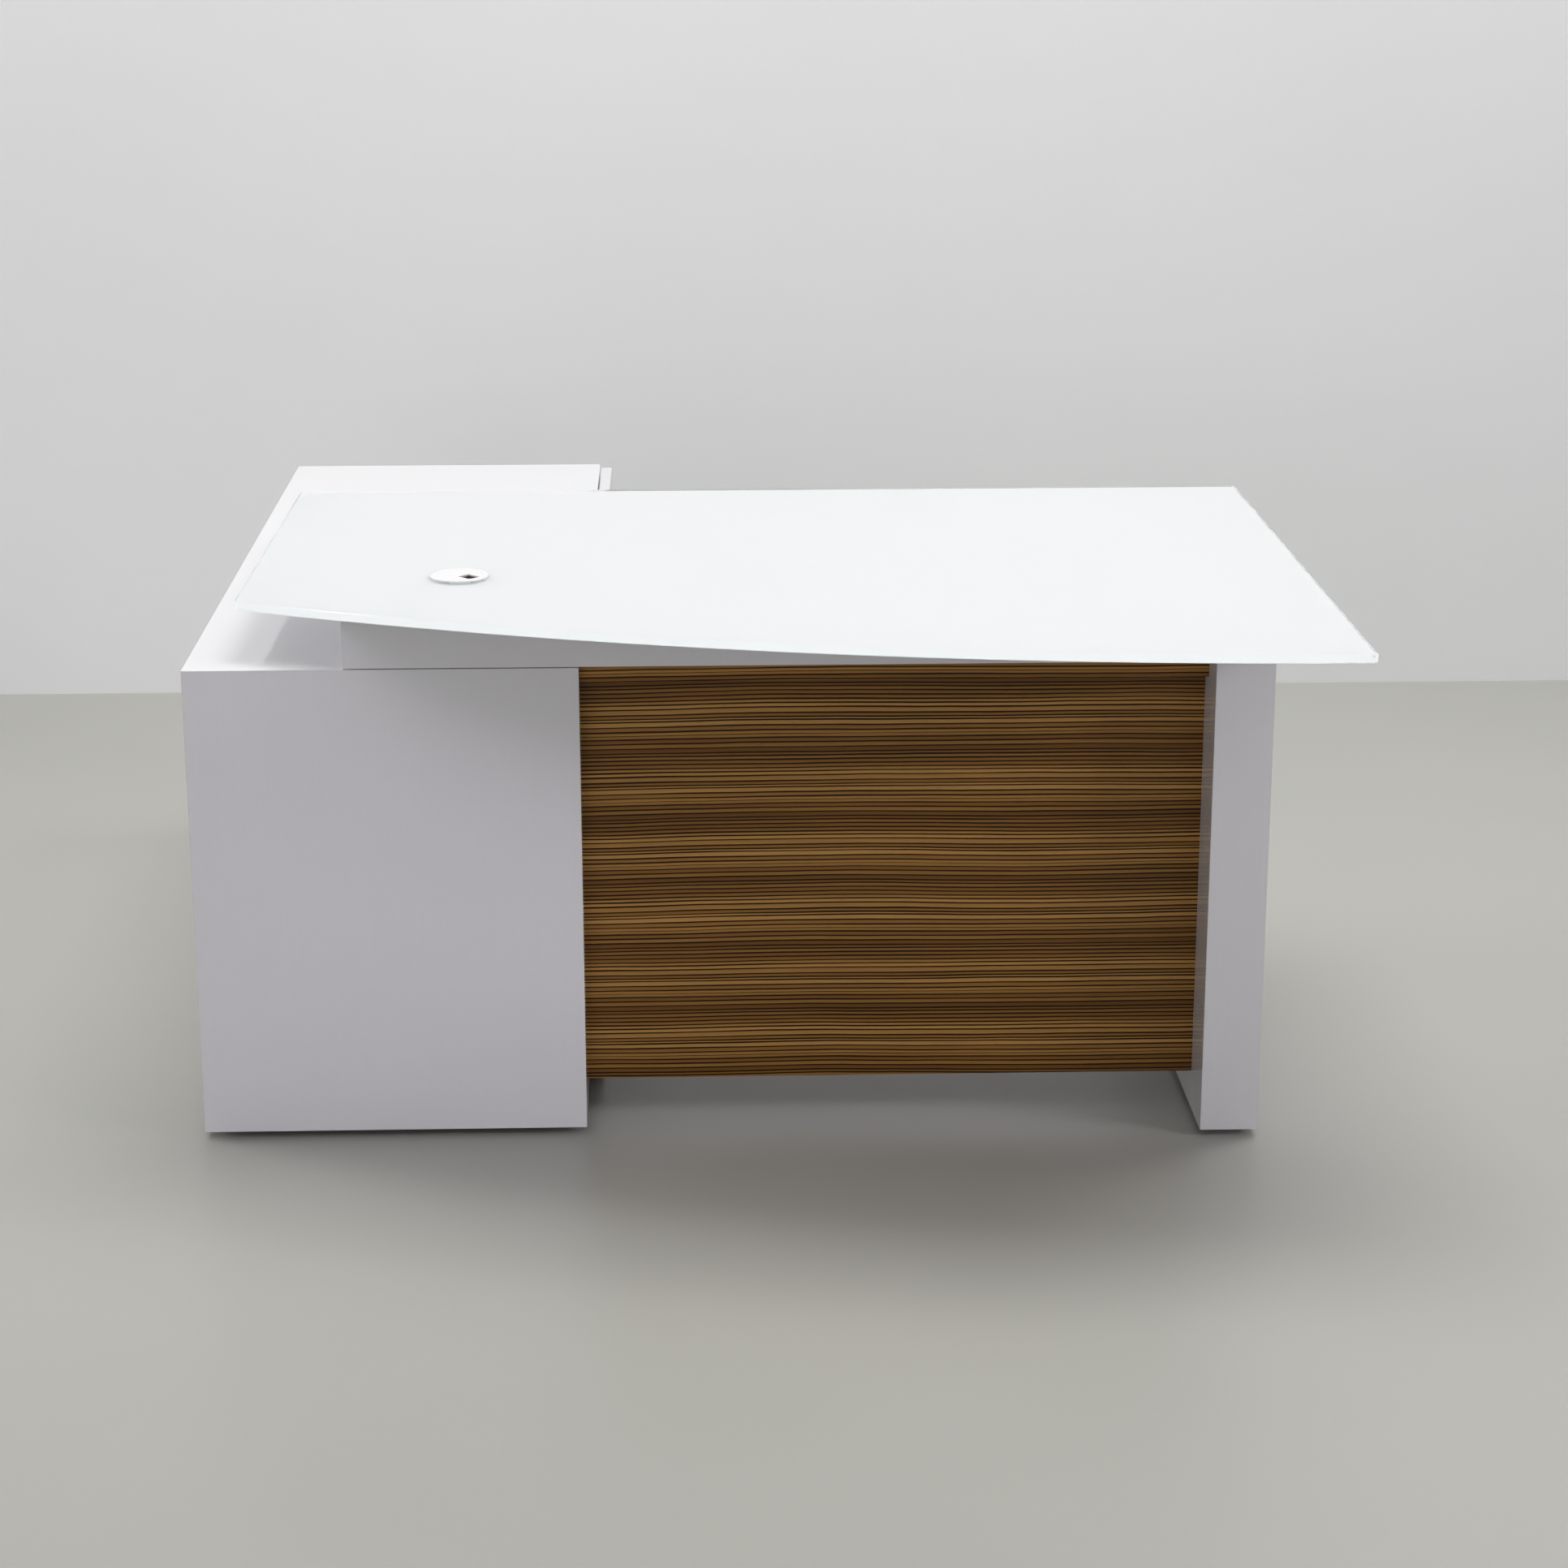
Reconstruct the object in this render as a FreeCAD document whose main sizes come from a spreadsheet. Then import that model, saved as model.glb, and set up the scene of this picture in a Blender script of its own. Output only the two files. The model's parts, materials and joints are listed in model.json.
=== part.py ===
import FreeCAD, Part
import Sketcher
import math
import os

# Curved executive desk: storage cabinet, box leg, apron frame, zebrano panel
# and a bowed glass top.  Millimetres, +Z up.  The visitor looks along +Y, the
# user sits on the +Y side.  Positions are measured from the cabinet's left
# front corner and shifted by mid_x, mid_y to the middle of the plan.

V = FreeCAD.Vector
Rot = FreeCAD.Rotation
Place = FreeCAD.Placement

os.makedirs("parts", exist_ok=True)
doc = FreeCAD.newDocument("curved_executive_desk")

# ------------------------------------------------------------------ size sheet
SIZES = [
    ("mid_x", -773, "shift of the cabinet corner to the plan middle, X"),
    ("mid_y", -595, "shift of the cabinet corner to the plan middle, Y"),
    ("board_t", 18, "laminated board"),
    ("cab_w", 530, "cabinet width"),
    ("cab_d", 1475, "cabinet length"),
    ("cab_h", 670, "cabinet height"),
    ("foot_h", 10, "clear height under cabinet and leg"),
    ("leg_x", 1382, "leg inner face"),
    ("leg_w", 80, "leg width"),
    ("leg_y", -40, "leg front face"),
    ("leg_d", 780, "leg depth"),
    ("top_h", 750, "desk height"),
    ("glass_t", 12, "glass thickness"),
    ("glass_l", 65, "glass left edge at its front corner"),
    ("glass_in", 9, "glass left edge drawn in at its rear corner"),
    ("glass_r", 1546, "glass right edge"),
    ("glass_f", -285, "glass foremost point"),
    ("glass_b", 831, "glass rear edge"),
    ("arc_r", 3315, "radius of the bowed front edge"),
    ("corner_r", 7, "glass corner radius"),
    ("arris_w", 1.2, "polished arris"),
    ("pad_t", 2, "clear pad under the glass"),
    ("pad_r", 10, "pad radius"),
    ("grom_x", 361, "grommet centre X"),
    ("grom_y", 209, "grommet centre Y"),
    ("grom_hole_r", 35, "hole in the glass"),
    ("flange_r", 40, "grommet flange radius"),
    ("flange_t", 3, "grommet flange height"),
    ("liner_r", 34.6, "grommet liner outside"),
    ("liner_in_r", 32, "grommet liner inside"),
    ("liner_low", 22, "liner depth under the flange"),
    ("ledge_r", 29.5, "ledge that carries the cap"),
    ("ledge_t", 3, "ledge height"),
    ("cap_r", 31.6, "cap radius"),
    ("cap_t", 3, "cap thickness"),
    ("cap_gap", 0.3, "running gap under the cap"),
    ("notch_w", 21, "cable notch width"),
    ("notch_in", 7, "cable notch start from the centre"),
    ("apron_l", 215, "apron left end"),
    ("apron_rear_y", 640, "apron rear board"),
    ("apron_mid_x", 800, "middle cross board"),
    ("groove_h", 1.2, "shadow groove under the apron, height"),
    ("groove_d", 6, "shadow groove under the apron, depth"),
    ("rail_y", 20, "zebrano rail front"),
    ("rail_d", 48, "zebrano rail depth"),
    ("rail_t", 25, "zebrano rail thickness"),
    ("panel_y", 50, "zebrano panel front"),
    ("panel_t", 18, "zebrano panel thickness"),
    ("panel_z", 64, "zebrano panel lower edge"),
    ("div_front_y", 211, "front partition"),
    ("div_mid_y", 577, "middle partition"),
    ("div_rear_y", 1018, "rear partition"),
    ("front_gap", 2, "gap between carcass and fronts"),
    ("front_t", 18, "front thickness"),
    ("front_low", 12, "lower edge of the fronts"),
    ("front_top", 664, "upper edge of the fronts"),
    ("reveal", 3, "gap between fronts"),
    ("shelf_z", 331, "underside of the shelves"),
    ("shelf_in", 25, "shelf set-back"),
    ("pin_r", 2.5, "shelf pin radius"),
    ("pin_l", 16, "shelf pin length"),
    ("pin_deep", 8.5, "shelf pin hole depth"),
    ("pin_x_back", 90, "rear row of shelf holes"),
    ("pin_x_front", 430, "front row of shelf holes"),
    ("cam_r", 7.5, "cam connector radius"),
    ("cam_l", 12.4, "cam connector depth"),
    ("box_x", 72, "rear of the drawer boxes"),
    ("side_t", 12, "drawer side"),
    ("base_t", 6, "drawer bottom"),
    ("base_up", 10, "drawer bottom above the side's lower edge"),
    ("slide_w", 12.7, "runner width"),
    ("slide_len", 450, "runner length"),
    ("slide_x", 70, "runner rear end"),
    ("slide_up", 40, "runner centre above the drawer side's lower edge"),
    ("slide_t", 1.2, "runner sheet"),
    ("slide_out_h", 45, "cabinet member height"),
    ("slide_out_d", 9, "cabinet member depth"),
    ("slide_mid_h", 40.4, "middle member height"),
    ("slide_mid_y", 2.4, "middle member offset from the wall"),
    ("slide_mid_d", 8.2, "middle member depth"),
    ("slide_in_h", 35.8, "drawer member height"),
    ("slide_in_d", 7.9, "drawer member depth"),
    ("file_gap", 330, "distance of the hanging-file rails"),
    ("pivot_x", 541.5, "door pivot"),
    ("pivot_in", 6, "door pivot from the door's edge"),
    ("hinge_lo", 110, "lower hinges"),
    ("hinge_hi", 566, "upper hinges"),
    ("hpin_r", 1.25, "hinge pin radius"),
    ("eye_bore", 1.3, "bore of the hinge eye"),
    ("eye_r", 2.3, "outside of the hinge eye"),
    ("pot_len", 34, "hinge pot length"),
    ("pot_h", 24, "hinge pot height"),
    ("pot_deep", 13.4, "hinge pot depth"),
    ("pot_wall", 1.2, "hinge pot wall"),
    ("pot_edge", 2, "hinge pot from the door's edge"),
    ("arm_off", 10.5, "hinge arm from the pivot"),
    ("arm_t", 4, "hinge arm thickness"),
    ("arm_len", 62, "hinge arm length"),
    ("arm_h", 14, "hinge arm height"),
    ("arm_foot", 3, "hinge arm foot"),
    ("bar_l", 160, "handle length"),
    ("bar_w", 10, "handle bar width"),
    ("bar_t", 8, "handle bar depth"),
    ("bar_out", 28, "handle projection"),
    ("post_r", 4, "handle post radius"),
    ("post_gap", 128, "handle post spacing"),
    ("bolt_r", 1.9, "handle screw radius"),
    ("bolt_hole", 2.0, "handle screw hole"),
    ("bolt_head_r", 4, "handle screw head"),
    ("bolt_head_t", 2.2, "handle screw head height"),
    ("screw_r", 2.0, "bracket screw radius"),
    ("screw_hole", 2.05, "bracket screw hole"),
    ("screw_l", 14, "bracket screw length"),
    ("screw_head_r", 3.8, "bracket screw head"),
    ("screw_head_t", 2.2, "bracket screw head height"),
    ("brk_l", 40, "bracket leg"),
    ("brk_w", 30, "bracket width"),
    ("brk_t", 2.5, "bracket sheet"),
    ("brk_hole", 24, "bracket hole from the corner"),
    ("foot_r", 15, "foot radius"),
    ("foot_pad_h", 8, "foot pad height"),
    ("stud_r", 4, "foot stud radius"),
    ("stud_l", 18, "foot stud length"),
    ("stud_hole", 4.05, "foot stud hole"),
]

dims = doc.addObject("Spreadsheet::Sheet", "Dims")
for row, (alias, value, note) in enumerate(SIZES, start=1):
    dims.set("A%d" % row, note)
    dims.set("B%d" % row, str(value))
    dims.setAlias("B%d" % row, alias)
doc.recompute()


class Cell:
    """A size of the sheet, or a sum of sizes: its number and its formula."""

    def __init__(self, number, formula):
        self.number = number
        self.formula = formula

    def __add__(self, other):
        other = cell(other)
        return Cell(self.number + other.number, "(%s + %s)" % (self.formula, other.formula))

    __radd__ = __add__

    def __sub__(self, other):
        other = cell(other)
        return Cell(self.number - other.number, "(%s - %s)" % (self.formula, other.formula))

    def __rsub__(self, other):
        return cell(other) - self

    def __mul__(self, other):
        other = cell(other)
        return Cell(self.number * other.number, "(%s * %s)" % (self.formula, other.formula))

    __rmul__ = __mul__

    def __truediv__(self, other):
        other = cell(other)
        return Cell(self.number / other.number, "(%s / %s)" % (self.formula, other.formula))

    def __neg__(self):
        return Cell(-self.number, "(0 - %s)" % self.formula)


def cell(value):
    if isinstance(value, Cell):
        return value
    if value < 0:
        return Cell(float(value), "(0 - %s)" % repr(-value))
    return Cell(float(value), repr(value))


class Sizes:
    pass


S = Sizes()
for alias, value, note in SIZES:
    setattr(S, alias, Cell(float(dims.get(alias)), "Dims.%s" % alias))


def bind(obj, prop, size):
    obj.setExpression(prop, cell(size).formula)


def put(obj, x, y, z, rotation=None):
    """Place an object at a point measured from the cabinet's corner."""
    x, y, z = S.mid_x + x, S.mid_y + y, cell(z)
    obj.Placement = Place(V(x.number, y.number, z.number), rotation or Rot())
    bind(obj, "Placement.Base.x", x)
    bind(obj, "Placement.Base.y", y)
    bind(obj, "Placement.Base.z", z)


NODES = {}      # node name -> finished object
DRILL = {}      # node name -> cylinders and boxes cut out of it


def node(name, obj):
    obj.Label = name
    NODES[name] = obj
    return obj


def box(name, x, y, z, dx, dy, dz):
    obj = doc.addObject("Part::Box", name)
    bind(obj, "Length", dx)
    bind(obj, "Width", dy)
    bind(obj, "Height", dz)
    put(obj, x, y, z)
    return obj


def mitred(name, outer, inner, thick, at, rotation=None):
    """A board whose edges are bevelled from the outer to the inner face.

    outer and inner are (x0, x1, z0, z1); the board is thick along its own Y.
    """
    obj = doc.addObject("Part::Wedge", name)
    for prop, size in zip(("Xmin", "Xmax", "Zmin", "Zmax"), outer):
        bind(obj, prop, size)
    for prop, size in zip(("X2min", "X2max", "Z2min", "Z2max"), inner):
        bind(obj, prop, size)
    bind(obj, "Ymin", 0)
    bind(obj, "Ymax", thick)
    put(obj, at[0], at[1], at[2], rotation)
    return obj


def drill(name, x, y, z, direction, radius, depth):
    """Note a round hole for a board; direction points into the wood."""
    hole = doc.addObject("Part::Cylinder", name + "_hole")
    bind(hole, "Radius", radius)
    bind(hole, "Height", depth)
    put(hole, x, y, z, Rot(V(0, 0, 1), V(*direction)))
    DRILL.setdefault(name, []).append(hole)


def recess(name, x, y, z, dx, dy, dz):
    DRILL.setdefault(name, []).append(box(name + "_recess", x, y, z, dx, dy, dz))


def finish(name, blank):
    """Cut the noted holes out of a blank and make it the node."""
    cuts = DRILL.get(name)
    if not cuts:
        return node(name, blank)
    blank.Label = name + "_blank"
    tool = doc.addObject("Part::Compound", name + "_drilling")
    tool.Links = cuts
    cut = doc.addObject("Part::Cut", name + "_cut")
    cut.Base = blank
    cut.Tool = tool
    return node(name, cut)


def group(name, members):
    comp = doc.addObject("Part::Compound", name + "_group")
    comp.Links = members
    return node(name, comp)


def linked(master, placement):
    link = doc.addObject("App::Link", master.Name + "_copy")
    link.LinkedObject = master
    link.Placement = placement
    return link


def spot(x, y, z, rotation=None):
    """A placement measured from the cabinet's corner."""
    return Place(V((S.mid_x + x).number, (S.mid_y + y).number, cell(z).number),
                 rotation or Rot())


def plane(body, role):
    return [f for f in body.Origin.OriginFeatures if f.Role == role][0]


def sketch_on(body, role, name):
    sk = body.newObject("Sketcher::SketchObject", name)
    sk.AttachmentSupport = [(plane(body, role), "")]
    sk.MapMode = "FlatFace"
    return sk


def fix_point(sk, geo, pos, x, y):
    """Bind a sketch point to sizes of the sheet (none of them negative)."""
    for kind, size, axis in (("DistanceX", cell(x), -2), ("DistanceY", cell(y), -1)):
        if abs(size.number) < 1e-9:
            sk.addConstraint(Sketcher.Constraint("PointOnObject", geo, pos, axis))
        else:
            index = sk.addConstraint(
                Sketcher.Constraint(kind, -1, 1, geo, pos, size.number))
            sk.setExpression("Constraints[%d]" % index, size.formula)


def outline(sk, points):
    """A closed outline of straight lines through sheet-bound points."""
    count = len(points)
    for i in range(count):
        a, b = points[i], points[(i + 1) % count]
        sk.addGeometry(Part.LineSegment(V(cell(a[0]).number, cell(a[1]).number, 0),
                                        V(cell(b[0]).number, cell(b[1]).number, 0)), False)
    for i in range(count):
        sk.addConstraint(Sketcher.Constraint("Coincident", i, 2, (i + 1) % count, 1))
    for i in range(count):
        fix_point(sk, i, 1, points[i][0], points[i][1])


def pad(body, sk, length, name, both_ways=False):
    feature = body.newObject("PartDesign::Pad", name)
    feature.Profile = sk
    bind(feature, "Length", length)
    feature.Midplane = both_ways
    return feature


def revolved(name, points):
    """A turned piece: outline in the XZ plane, turned about Z."""
    body = doc.addObject("PartDesign::Body", name)
    sk = sketch_on(body, "XZ_Plane", name + "_profile")
    outline(sk, points)
    turn = body.newObject("PartDesign::Revolution", name + "_turned")
    turn.Profile = sk
    turn.ReferenceAxis = (sk, ["V_Axis"])
    turn.Angle = 360.0
    return body


# ------------------------------------------------------------------- positions
T = S.board_t
FRAME_TOP = S.top_h - S.glass_t - S.pad_t           # top of apron and leg
IN_LOW = S.foot_h + T                               # inside of the cabinet
IN_TOP = S.cab_h - T
FRONT_X = S.cab_w + S.front_gap                     # inner face of the fronts
Y_FLIP = Rot(V(1, 0, 0), 180)

# ---------------------------------------------------------- cabinet carcass
# The top, both ends and the outer side are folded from mitred boards.
mitred_front = mitred("credenza_front_end_blank",
                      (0, S.cab_w, S.foot_h, S.cab_h),
                      (T, S.cab_w, S.foot_h, IN_TOP), T, (0, 0, 0))
mitred_rear = mitred("credenza_rear_end_blank",
                     (-S.cab_w, 0, S.foot_h, S.cab_h),
                     (-S.cab_w, -T, S.foot_h, IN_TOP), T, (0, S.cab_d, 0),
                     Rot(V(0, 0, 1), 180))
mitred_side = mitred("credenza_outer_side_blank",
                     (-S.cab_d, 0, S.foot_h, S.cab_h),
                     (T - S.cab_d, -T, S.foot_h, IN_TOP), T, (0, 0, 0),
                     Rot(V(0, 0, 1), -90))
mitred_top = mitred("credenza_top_blank",
                    (0, S.cab_w, 0, S.cab_d),
                    (T, S.cab_w, T, S.cab_d - T), T, (0, 0, S.cab_h),
                    Rot(V(1, 0, 0), -90))
bottom = box("credenza_bottom_blank", T, T, S.foot_h, S.cab_w - T, S.cab_d - 2 * T, T)
filler = box("knee_filler_blank", S.cab_w - T, T, IN_LOW, T, S.div_front_y - T, IN_TOP - IN_LOW)
partitions = {}
for name, y in (("partition_front", S.div_front_y), ("partition_mid", S.div_mid_y),
                ("partition_rear", S.div_rear_y)):
    partitions[name] = box(name + "_blank", T, y, IN_LOW, S.cab_w - T, T, IN_TOP - IN_LOW)

# Shelves on pins; each wall of a cupboard bay has two rows of spare holes.
bays = (("shelf_front", S.div_front_y + T, S.div_mid_y, "partition_front", "partition_mid"),
        ("shelf_rear", S.div_rear_y + T, S.cab_d - T, "partition_rear", "credenza_rear_end"))
pin = doc.addObject("Part::Cylinder", "shelf_pin")
bind(pin, "Radius", S.pin_r)
bind(pin, "Height", S.pin_l)
pin_copies = []
for name, y_low, y_high, wall_low, wall_high in bays:
    node(name, box(name, T + 2, y_low + 1, S.shelf_z, S.cab_w - S.shelf_in - T - 2,
                   y_high - y_low - 2, T))
    for x in (S.pin_x_back, S.pin_x_front):
        z = S.shelf_z - S.pin_r
        for step in range(-2, 3):
            drill(wall_low, x, y_low, z + 32 * step, (0, -1, 0), S.pin_r + 0.05, S.pin_deep)
            drill(wall_high, x, y_high, z + 32 * step, (0, 1, 0), S.pin_r + 0.05, S.pin_deep)
        pin_copies.append(linked(pin, spot(x, y_low + S.pin_l - S.pin_deep + 0.3, z,
                                           Rot(V(1, 0, 0), 90))))
        pin_copies.append(linked(pin, spot(x, y_high - S.pin_l + S.pin_deep - 0.3, z,
                                           Rot(V(1, 0, 0), -90))))
group("shelf_pins", pin_copies)

# Cam connectors, flush with the inner faces, each with a cross slot.
cam_blank = doc.addObject("Part::Cylinder", "cam_blank")
bind(cam_blank, "Radius", S.cam_r - 0.1)
bind(cam_blank, "Height", S.cam_l)
cam_slots = []
for dx, dy in ((9, 1.6), (1.6, 9)):
    slot = doc.addObject("Part::Box", "cam_slot")
    bind(slot, "Length", dx)
    bind(slot, "Width", dy)
    bind(slot, "Height", 2.5)
    slot.Placement = Place(V(-dx / 2, -dy / 2, 0), Rot())
    bind(slot, "Placement.Base.z", S.cam_l - 2)
    cam_slots.append(slot)
cam_cross = doc.addObject("Part::MultiFuse", "cam_cross")
cam_cross.Shapes = cam_slots
cam = doc.addObject("Part::Cut", "cam_connector")
cam.Base = cam_blank
cam.Tool = cam_cross
cam_copies = []
for wall, y, into in (("partition_front", S.div_front_y + T, -1),
                      ("partition_mid", S.div_mid_y, 1),
                      ("partition_rear", S.div_rear_y + T, -1),
                      ("credenza_rear_end", S.cab_d - T, 1)):
    for x in (S.pin_x_back + 50, S.pin_x_front - 50):
        for z in (IN_LOW + 34, IN_TOP - 34):
            drill(wall, x, y, z, (0, into, 0), S.cam_r, S.cam_l + 0.1)
            cam_copies.append(linked(cam, spot(x, y + into * S.cam_l, z,
                                               Rot(V(0, 0, 1), V(0, -into, 0)))))
group("cam_connectors", cam_copies)

# ----------------------------------------------------------------- box leg
leg_z = (S.foot_h, FRAME_TOP)
mitred_leg_front = mitred("leg_front_blank", (0, S.leg_w) + leg_z, (T, S.leg_w - T) + leg_z, T,
                          (S.leg_x, S.leg_y, 0))
mitred_leg_rear = mitred("leg_rear_blank", (0, S.leg_w) + leg_z, (T, S.leg_w - T) + leg_z, T,
                         (S.leg_x + S.leg_w, S.leg_y + S.leg_d, 0), Rot(V(0, 0, 1), 180))
mitred_leg_inner = mitred("leg_inner_blank", (0, S.leg_d) + leg_z, (T, S.leg_d - T) + leg_z, T,
                          (S.leg_x, S.leg_y + S.leg_d, 0), Rot(V(0, 0, 1), -90))
mitred_leg_outer = mitred("leg_outer_blank", (0, S.leg_d) + leg_z, (T, S.leg_d - T) + leg_z, T,
                          (S.leg_x + S.leg_w, S.leg_y, 0), Rot(V(0, 0, 1), 90))
leg_low = box("leg_block_low_blank", S.leg_x + T, S.leg_y + T, S.foot_h, S.leg_w - 2 * T,
              S.leg_d - 2 * T, T)
leg_high = box("leg_block_high", S.leg_x + T, S.leg_y + T, FRAME_TOP - T, S.leg_w - 2 * T,
               S.leg_d - 2 * T, T)

# ------------------------------------------------------------------- apron
apron_h = FRAME_TOP - S.cab_h
apron_front = box("apron_front_blank", S.apron_l, 0, S.cab_h, S.leg_x - S.apron_l, T, apron_h)
recess("apron_front", S.apron_l - 1, -1, S.cab_h - 1, S.leg_x - S.apron_l + 1, S.groove_d + 1,
       S.groove_h + 1)
apron_rear = box("apron_rear_blank", S.apron_l, S.apron_rear_y, S.cab_h, S.leg_x - S.apron_l, T,
                 apron_h)
cross = [box("apron_cross", x, T, S.cab_h, T, S.apron_rear_y - T, apron_h)
         for x in (S.apron_l, S.apron_mid_x)]
group("apron_cross_rails", cross)

# ---------------------------------------------------- zebrano rail and panel
node("modesty_rail", box("modesty_rail", S.cab_w, S.rail_y, S.cab_h - S.rail_t,
                         S.leg_x - S.cab_w, S.rail_d, S.rail_t))
panel = box("modesty_panel_blank", S.cab_w, S.panel_y, S.panel_z, S.leg_x - S.cab_w, S.panel_t,
            S.cab_h - S.rail_t - S.panel_z)

# ------------------------------------------------- corner brackets and screws
brk_a = doc.addObject("Part::Box", "bracket_leg_a")
bind(brk_a, "Length", S.brk_l)
bind(brk_a, "Width", S.brk_t)
bind(brk_a, "Height", S.brk_w)
brk_b = doc.addObject("Part::Box", "bracket_leg_b")
bind(brk_b, "Length", S.brk_t)
bind(brk_b, "Width", S.brk_l)
bind(brk_b, "Height", S.brk_w)
brk_fuse = doc.addObject("Part::MultiFuse", "bracket_blank")
brk_fuse.Shapes = [brk_a, brk_b]
brk_fuse.Refine = True
brk_holes = []
for axis in (0, 1):
    hole = doc.addObject("Part::Cylinder", "bracket_hole")
    bind(hole, "Radius", S.screw_hole + 0.1)
    bind(hole, "Height", S.brk_t + 2)
    reach, half = S.brk_hole.number, S.brk_w.number / 2
    if axis == 0:
        hole.Placement = Place(V(reach, -1, half), Rot(V(1, 0, 0), -90))
        bind(hole, "Placement.Base.x", S.brk_hole)
    else:
        hole.Placement = Place(V(-1, reach, half), Rot(V(0, 1, 0), 90))
        bind(hole, "Placement.Base.y", S.brk_hole)
    bind(hole, "Placement.Base.z", S.brk_w / 2)
    brk_holes.append(hole)
brk_drill = doc.addObject("Part::Compound", "bracket_drilling")
brk_drill.Links = brk_holes
bracket = doc.addObject("Part::Cut", "corner_bracket")
bracket.Base = brk_fuse
bracket.Tool = brk_drill

shank = doc.addObject("Part::Cylinder", "screw_shank")
bind(shank, "Radius", S.screw_r)
bind(shank, "Height", S.screw_l)
bind(shank, "Placement.Base.z", -S.screw_l)
head = doc.addObject("Part::Cylinder", "screw_head")
bind(head, "Radius", S.screw_head_r)
bind(head, "Height", S.screw_head_t)
screw_fuse = doc.addObject("Part::MultiFuse", "screw_blank")
screw_fuse.Shapes = [shank, head]
screw_cross = doc.addObject("Part::Box", "screw_slot")
bind(screw_cross, "Length", 5)
bind(screw_cross, "Width", 1)
bind(screw_cross, "Height", 2)
screw_cross.Placement = Place(V(-2.5, -0.5, 0), Rot())
bind(screw_cross, "Placement.Base.z", S.screw_head_t - 1)
screw = doc.addObject("Part::Cut", "pan_screw")
screw.Base = screw_fuse
screw.Tool = screw_cross


def columns(ex, ey, ez):
    return Place(FreeCAD.Matrix(ex[0], ey[0], ez[0], 0, ex[1], ey[1], ez[1], 0,
                                ex[2], ey[2], ez[2], 0, 0, 0, 0, 1)).Rotation


half_w = S.brk_w / 2
quarter, turned = Rot(V(0, 0, 1), 90), Rot(V(0, 0, 1), 180)
panel_back = S.panel_y + S.panel_t
# place, rotation, board behind leg a, board behind leg b
bracket_spots = []
for z in (150, 560):
    bracket_spots.append((spot(S.cab_w, panel_back, z - half_w), "modesty_panel", "knee_filler"))
    bracket_spots.append((spot(S.leg_x, panel_back, z - half_w, quarter),
                          "leg_inner", "modesty_panel"))
apron_z = S.cab_h + apron_h / 2 - half_w
bracket_spots.append((spot(S.leg_x, T, apron_z, quarter), "leg_inner", "apron_front"))
bracket_spots.append((spot(S.leg_x, S.apron_rear_y, apron_z, turned), "apron_rear", "leg_inner"))
bracket_spots.append((spot(420 - half_w, T, S.cab_h,
                           columns((0, 1, 0), (0, 0, 1), (1, 0, 0))),
                      "credenza_top", "apron_front"))
bracket_spots.append((spot(420 - half_w, S.apron_rear_y, S.cab_h,
                           columns((0, 0, 1), (0, -1, 0), (1, 0, 0))),
                      "apron_rear", "credenza_top"))

bracket_copies, screw_copies = [], []
for where, board_a, board_b in bracket_spots:
    bracket_copies.append(linked(bracket, where))
    reach, sheet, half = S.brk_hole.number, S.brk_t.number, half_w.number
    for board, at, foot, turn in ((board_a, V(reach, sheet, half), V(reach, 0, half),
                                   Rot(V(1, 0, 0), -90)),
                                  (board_b, V(sheet, reach, half), V(0, reach, half),
                                   Rot(V(0, 1, 0), 90))):
        seat = where.multiply(Place(at, turn))
        screw_copies.append(linked(screw, seat))
        into = seat.Rotation.multVec(V(0, 0, -1))
        entry = where.multVec(foot)
        drill(board, entry.x - S.mid_x.number, entry.y - S.mid_y.number, entry.z,
              (into.x, into.y, into.z), S.screw_hole, S.screw_l - S.brk_t + 0.5)
group("corner_brackets", bracket_copies)
group("bracket_screws", screw_copies)

# -------------------------------------------------------------- levelling feet
foot_body = revolved("foot_turned", [
    (0, 0), (S.foot_r - 1, 0), (S.foot_r, 1), (S.foot_r, S.foot_pad_h - 3),
    (S.foot_r - 3, S.foot_pad_h), (0, S.foot_pad_h)])
stud = doc.addObject("Part::Cylinder", "foot_stud")
bind(stud, "Radius", S.stud_r)
bind(stud, "Height", S.stud_l)
foot_spots = [("credenza_bottom", x, y) for x in (46, S.cab_w - 44)
              for y in (46, S.cab_d / 2, S.cab_d - 46)]
foot_spots += [("leg_block_low", S.leg_x + S.leg_w / 2, y)
               for y in (S.leg_y + 40, S.leg_y + S.leg_d - 40)]
pads, studs = [], []
for board, x, y in foot_spots:
    pads.append(linked(foot_body, spot(x, y, 0)))
    studs.append(linked(stud, spot(x, y, S.foot_pad_h)))
    drill(board, x, y, S.foot_h, (0, 0, 1), S.stud_hole, S.stud_l + S.foot_pad_h - S.foot_h + 0.5)
group("foot_pads", pads)
group("foot_studs", studs)

# ------------------------------------------------------------------- glass top
glass = doc.addObject("PartDesign::Body", "glass_top_body")
gsk = sketch_on(glass, "XY_Plane", "glass_outline")
g_w = S.glass_r - S.glass_l
g_d = S.glass_b - S.glass_f
w, d, r = g_w.number, g_d.number, S.arc_r.number
rise = r - math.sqrt(r * r - w * w)
gsk.addGeometry(Part.LineSegment(V(w, 0, 0), V(w, d, 0)), False)
drawn = S.glass_in.number
gsk.addGeometry(Part.LineSegment(V(w, d, 0), V(drawn, d, 0)), False)
gsk.addGeometry(Part.LineSegment(V(drawn, d, 0), V(0, rise, 0)), False)
gsk.addGeometry(Part.ArcOfCircle(Part.Circle(V(w, r, 0), V(0, 0, 1), r),
                                 math.atan2(rise - r, -w), -math.pi / 2), False)
gx, gy = S.grom_x - S.glass_l, S.grom_y - S.glass_f
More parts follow.
